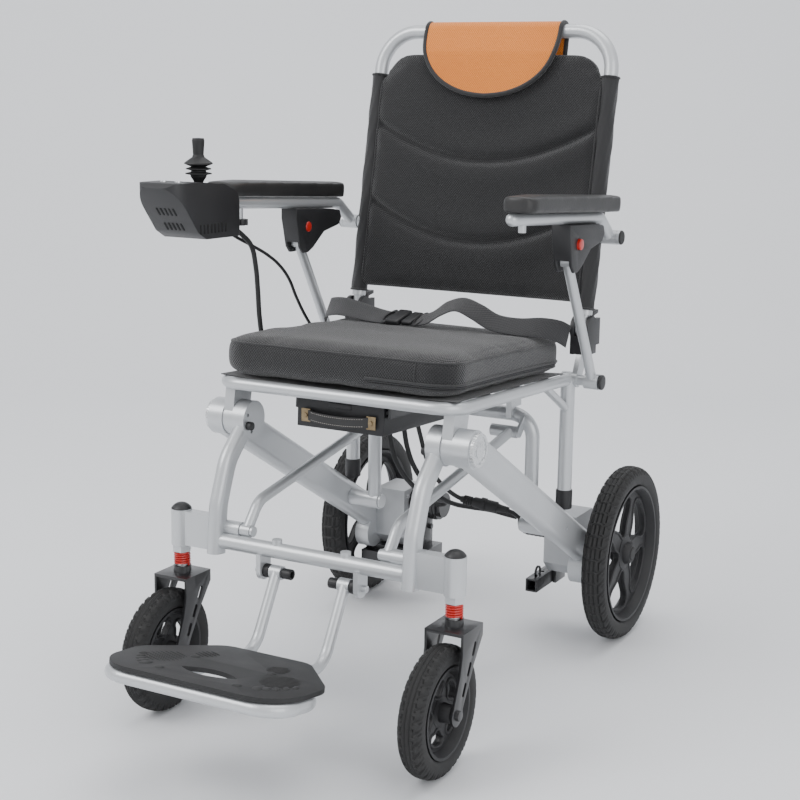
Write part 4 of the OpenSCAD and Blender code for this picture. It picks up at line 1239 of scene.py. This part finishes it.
def makeHandle():
    low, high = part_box("battery_handle")
    middle = (low + high) / 2
    half = handle["half"]

    def onStrap(t, off, up):  # a place on the bowed strap; t runs -1 to 1 along it
        out = handle["bow"] * max(0.0, 1 - abs(t) ** 3.2) * 0.8 + 0.0035 + off
        return Vector((half * t, high.y - out, middle.z - 0.0035 * (1 - t * t) + up))

    rows = [[onStrap(i / 24 - 1, 0, handle["width"] * (j / 6 - 0.5)) for j in range(7)] for i in range(49)]
    strap = gridPiece("strap", rows)
    modify(strap, "SOLIDIFY", thickness=handle["thickness"], offset=0)
    modify(strap, "BEVEL", width=0.001, segments=2, limit_method="ANGLE")
    settle(strap, "batteryHandle", "leather", "battery", "battery_handle", shade=50)
    stitches = []
    reach = 0.8
    step = handle["pitch"] / half
    for edge in (-1, 1):
        for k in range(math.ceil(2 * reach / step)):
            start = -reach + k * step
            off, up = handle["thickness"] / 2 + 0.0002, edge * handle["width"] * 0.34
            points = [onStrap(start + share * step, off, up) for share in (0, 0.31, 0.62)]
            stitches.append(tubePiece("stitch", points, 0.0005, sides=1))
    settle(joined(stitches, "stitches"), "handleStitches", "thread", "battery", shade=60)
    plates = []
    for side in (-1, 1):
        plate = boxPiece((0.0165, 0.0024, 0.0215), (side * half, high.y - 0.0062, middle.z - 0.001))
        modify(plate, "BEVEL", width=0.0042, segments=4, limit_method="NONE")
        bpy.ops.mesh.primitive_cylinder_add(vertices=24, radius=0.0038, depth=0.0034,
                                            location=(side * half, high.y - 0.0082, middle.z - 0.001),
                                            rotation=(math.radians(90), 0, 0))
        rivet = bpy.context.view_layer.objects.active
        modify(rivet, "BEVEL", width=0.0009, segments=2)
        plates += [plate, rivet]
    settle(joined(plates, "plates"), "handlePlates", "brass", "battery")


makeHandle()


def makeCaps():
    # black plugs in the open ends of the arm pivots
    low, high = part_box("back_tube")
    for side in (-1, 1):
        joint = "arm_pivot_" + sideWord(side).lower()
        pivot = next(entry for entry in frame["joints"] if entry["name"] == joint)["pos_m"]
        plug = revolve("plug", [(-0.001, 0.0), (-0.001, 0.0122), (0.0014, 0.0122), (0.003, 0.0108),
                                (0.0036, 0.0)], 32)
        turn = Matrix.Rotation(math.pi, 4, "Z") if side < 0 else Matrix()
        outer = high.x if side > 0 else low.x
        plug.data.transform(Matrix.Translation((outer, pivot[1], pivot[2])) @ turn)
        settle(plug, "pivotPlug" + sideWord(side), "rubber", "backrest", shade=40)


makeCaps()

vents = {"columns": 5, "pitch": 0.0078, "slotWide": 0.0036, "slotTall": 0.015}


def makeVents():
    # painted shade: near-black slot pieces low on the controller's nose and along its right side, standing
    # in for the shade inside its louvre openings
    low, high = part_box("controller")
    tree = nearest(bpy.data.objects["controllerRounded"])
    middle = (low.x + high.x) / 2
    starts = [((middle + (k - 2) * vents["pitch"], -0.40, z), (0, 1, 0))
              for z in (0.800, 0.776) for k in range(vents["columns"])]
    starts += [((-0.05, -0.215 + k * 0.0095, 0.772), (-1, 0, 0)) for k in range(8)]
    slots = []
    for start, way in starts:
        hit, normal, _, _ = tree.ray_cast(Vector(start), Vector(way))
        if hit is None:
            continue
        slot = boxPiece((vents["slotWide"], vents["slotTall"], 0.0016))
        modify(slot, "BEVEL", width=0.0007, segments=2, limit_method="NONE")
        up = (Vector((0, 0, 1)) - normal * normal.z).normalized()
        facing = Matrix((up.cross(normal), up, normal)).transposed().to_4x4()
        slot.data.transform(Matrix.Translation(hit) @ facing)
        slots.append(slot)
    settle(joined(slots, "slots"), "controllerVentShade", "paintedSlotShade", "arm_left")


makeVents()
print("cables, handle, caps and vents made")

# pale studio floor that curves up into the backdrop
sweepSize = {"wide": 9.0, "front": -5.0, "bend": 1.4, "back": 2.4, "tall": 6.0}


def makeStage():
    profile = [(sweepSize["front"], 0.0), (sweepSize["back"], 0.0)]
    for k in range(1, 13):
        angle = math.radians(90 * k / 12)
        profile.append((sweepSize["back"] + sweepSize["bend"] * math.sin(angle),
                        sweepSize["bend"] * (1 - math.cos(angle))))
    profile.append((sweepSize["back"] + sweepSize["bend"], sweepSize["tall"]))
    turn = Matrix.Rotation(math.radians(studio["turn"]), 4, "Z")
    rows = [[turn @ Vector((x, y, z)) for x in (-sweepSize["wide"], sweepSize["wide"])] for y, z in profile]
    piece = gridPiece("studioSweep", rows)
    piece.data.materials.append(finishes["floor"])
    roundShade(piece, 60)


makeStage()
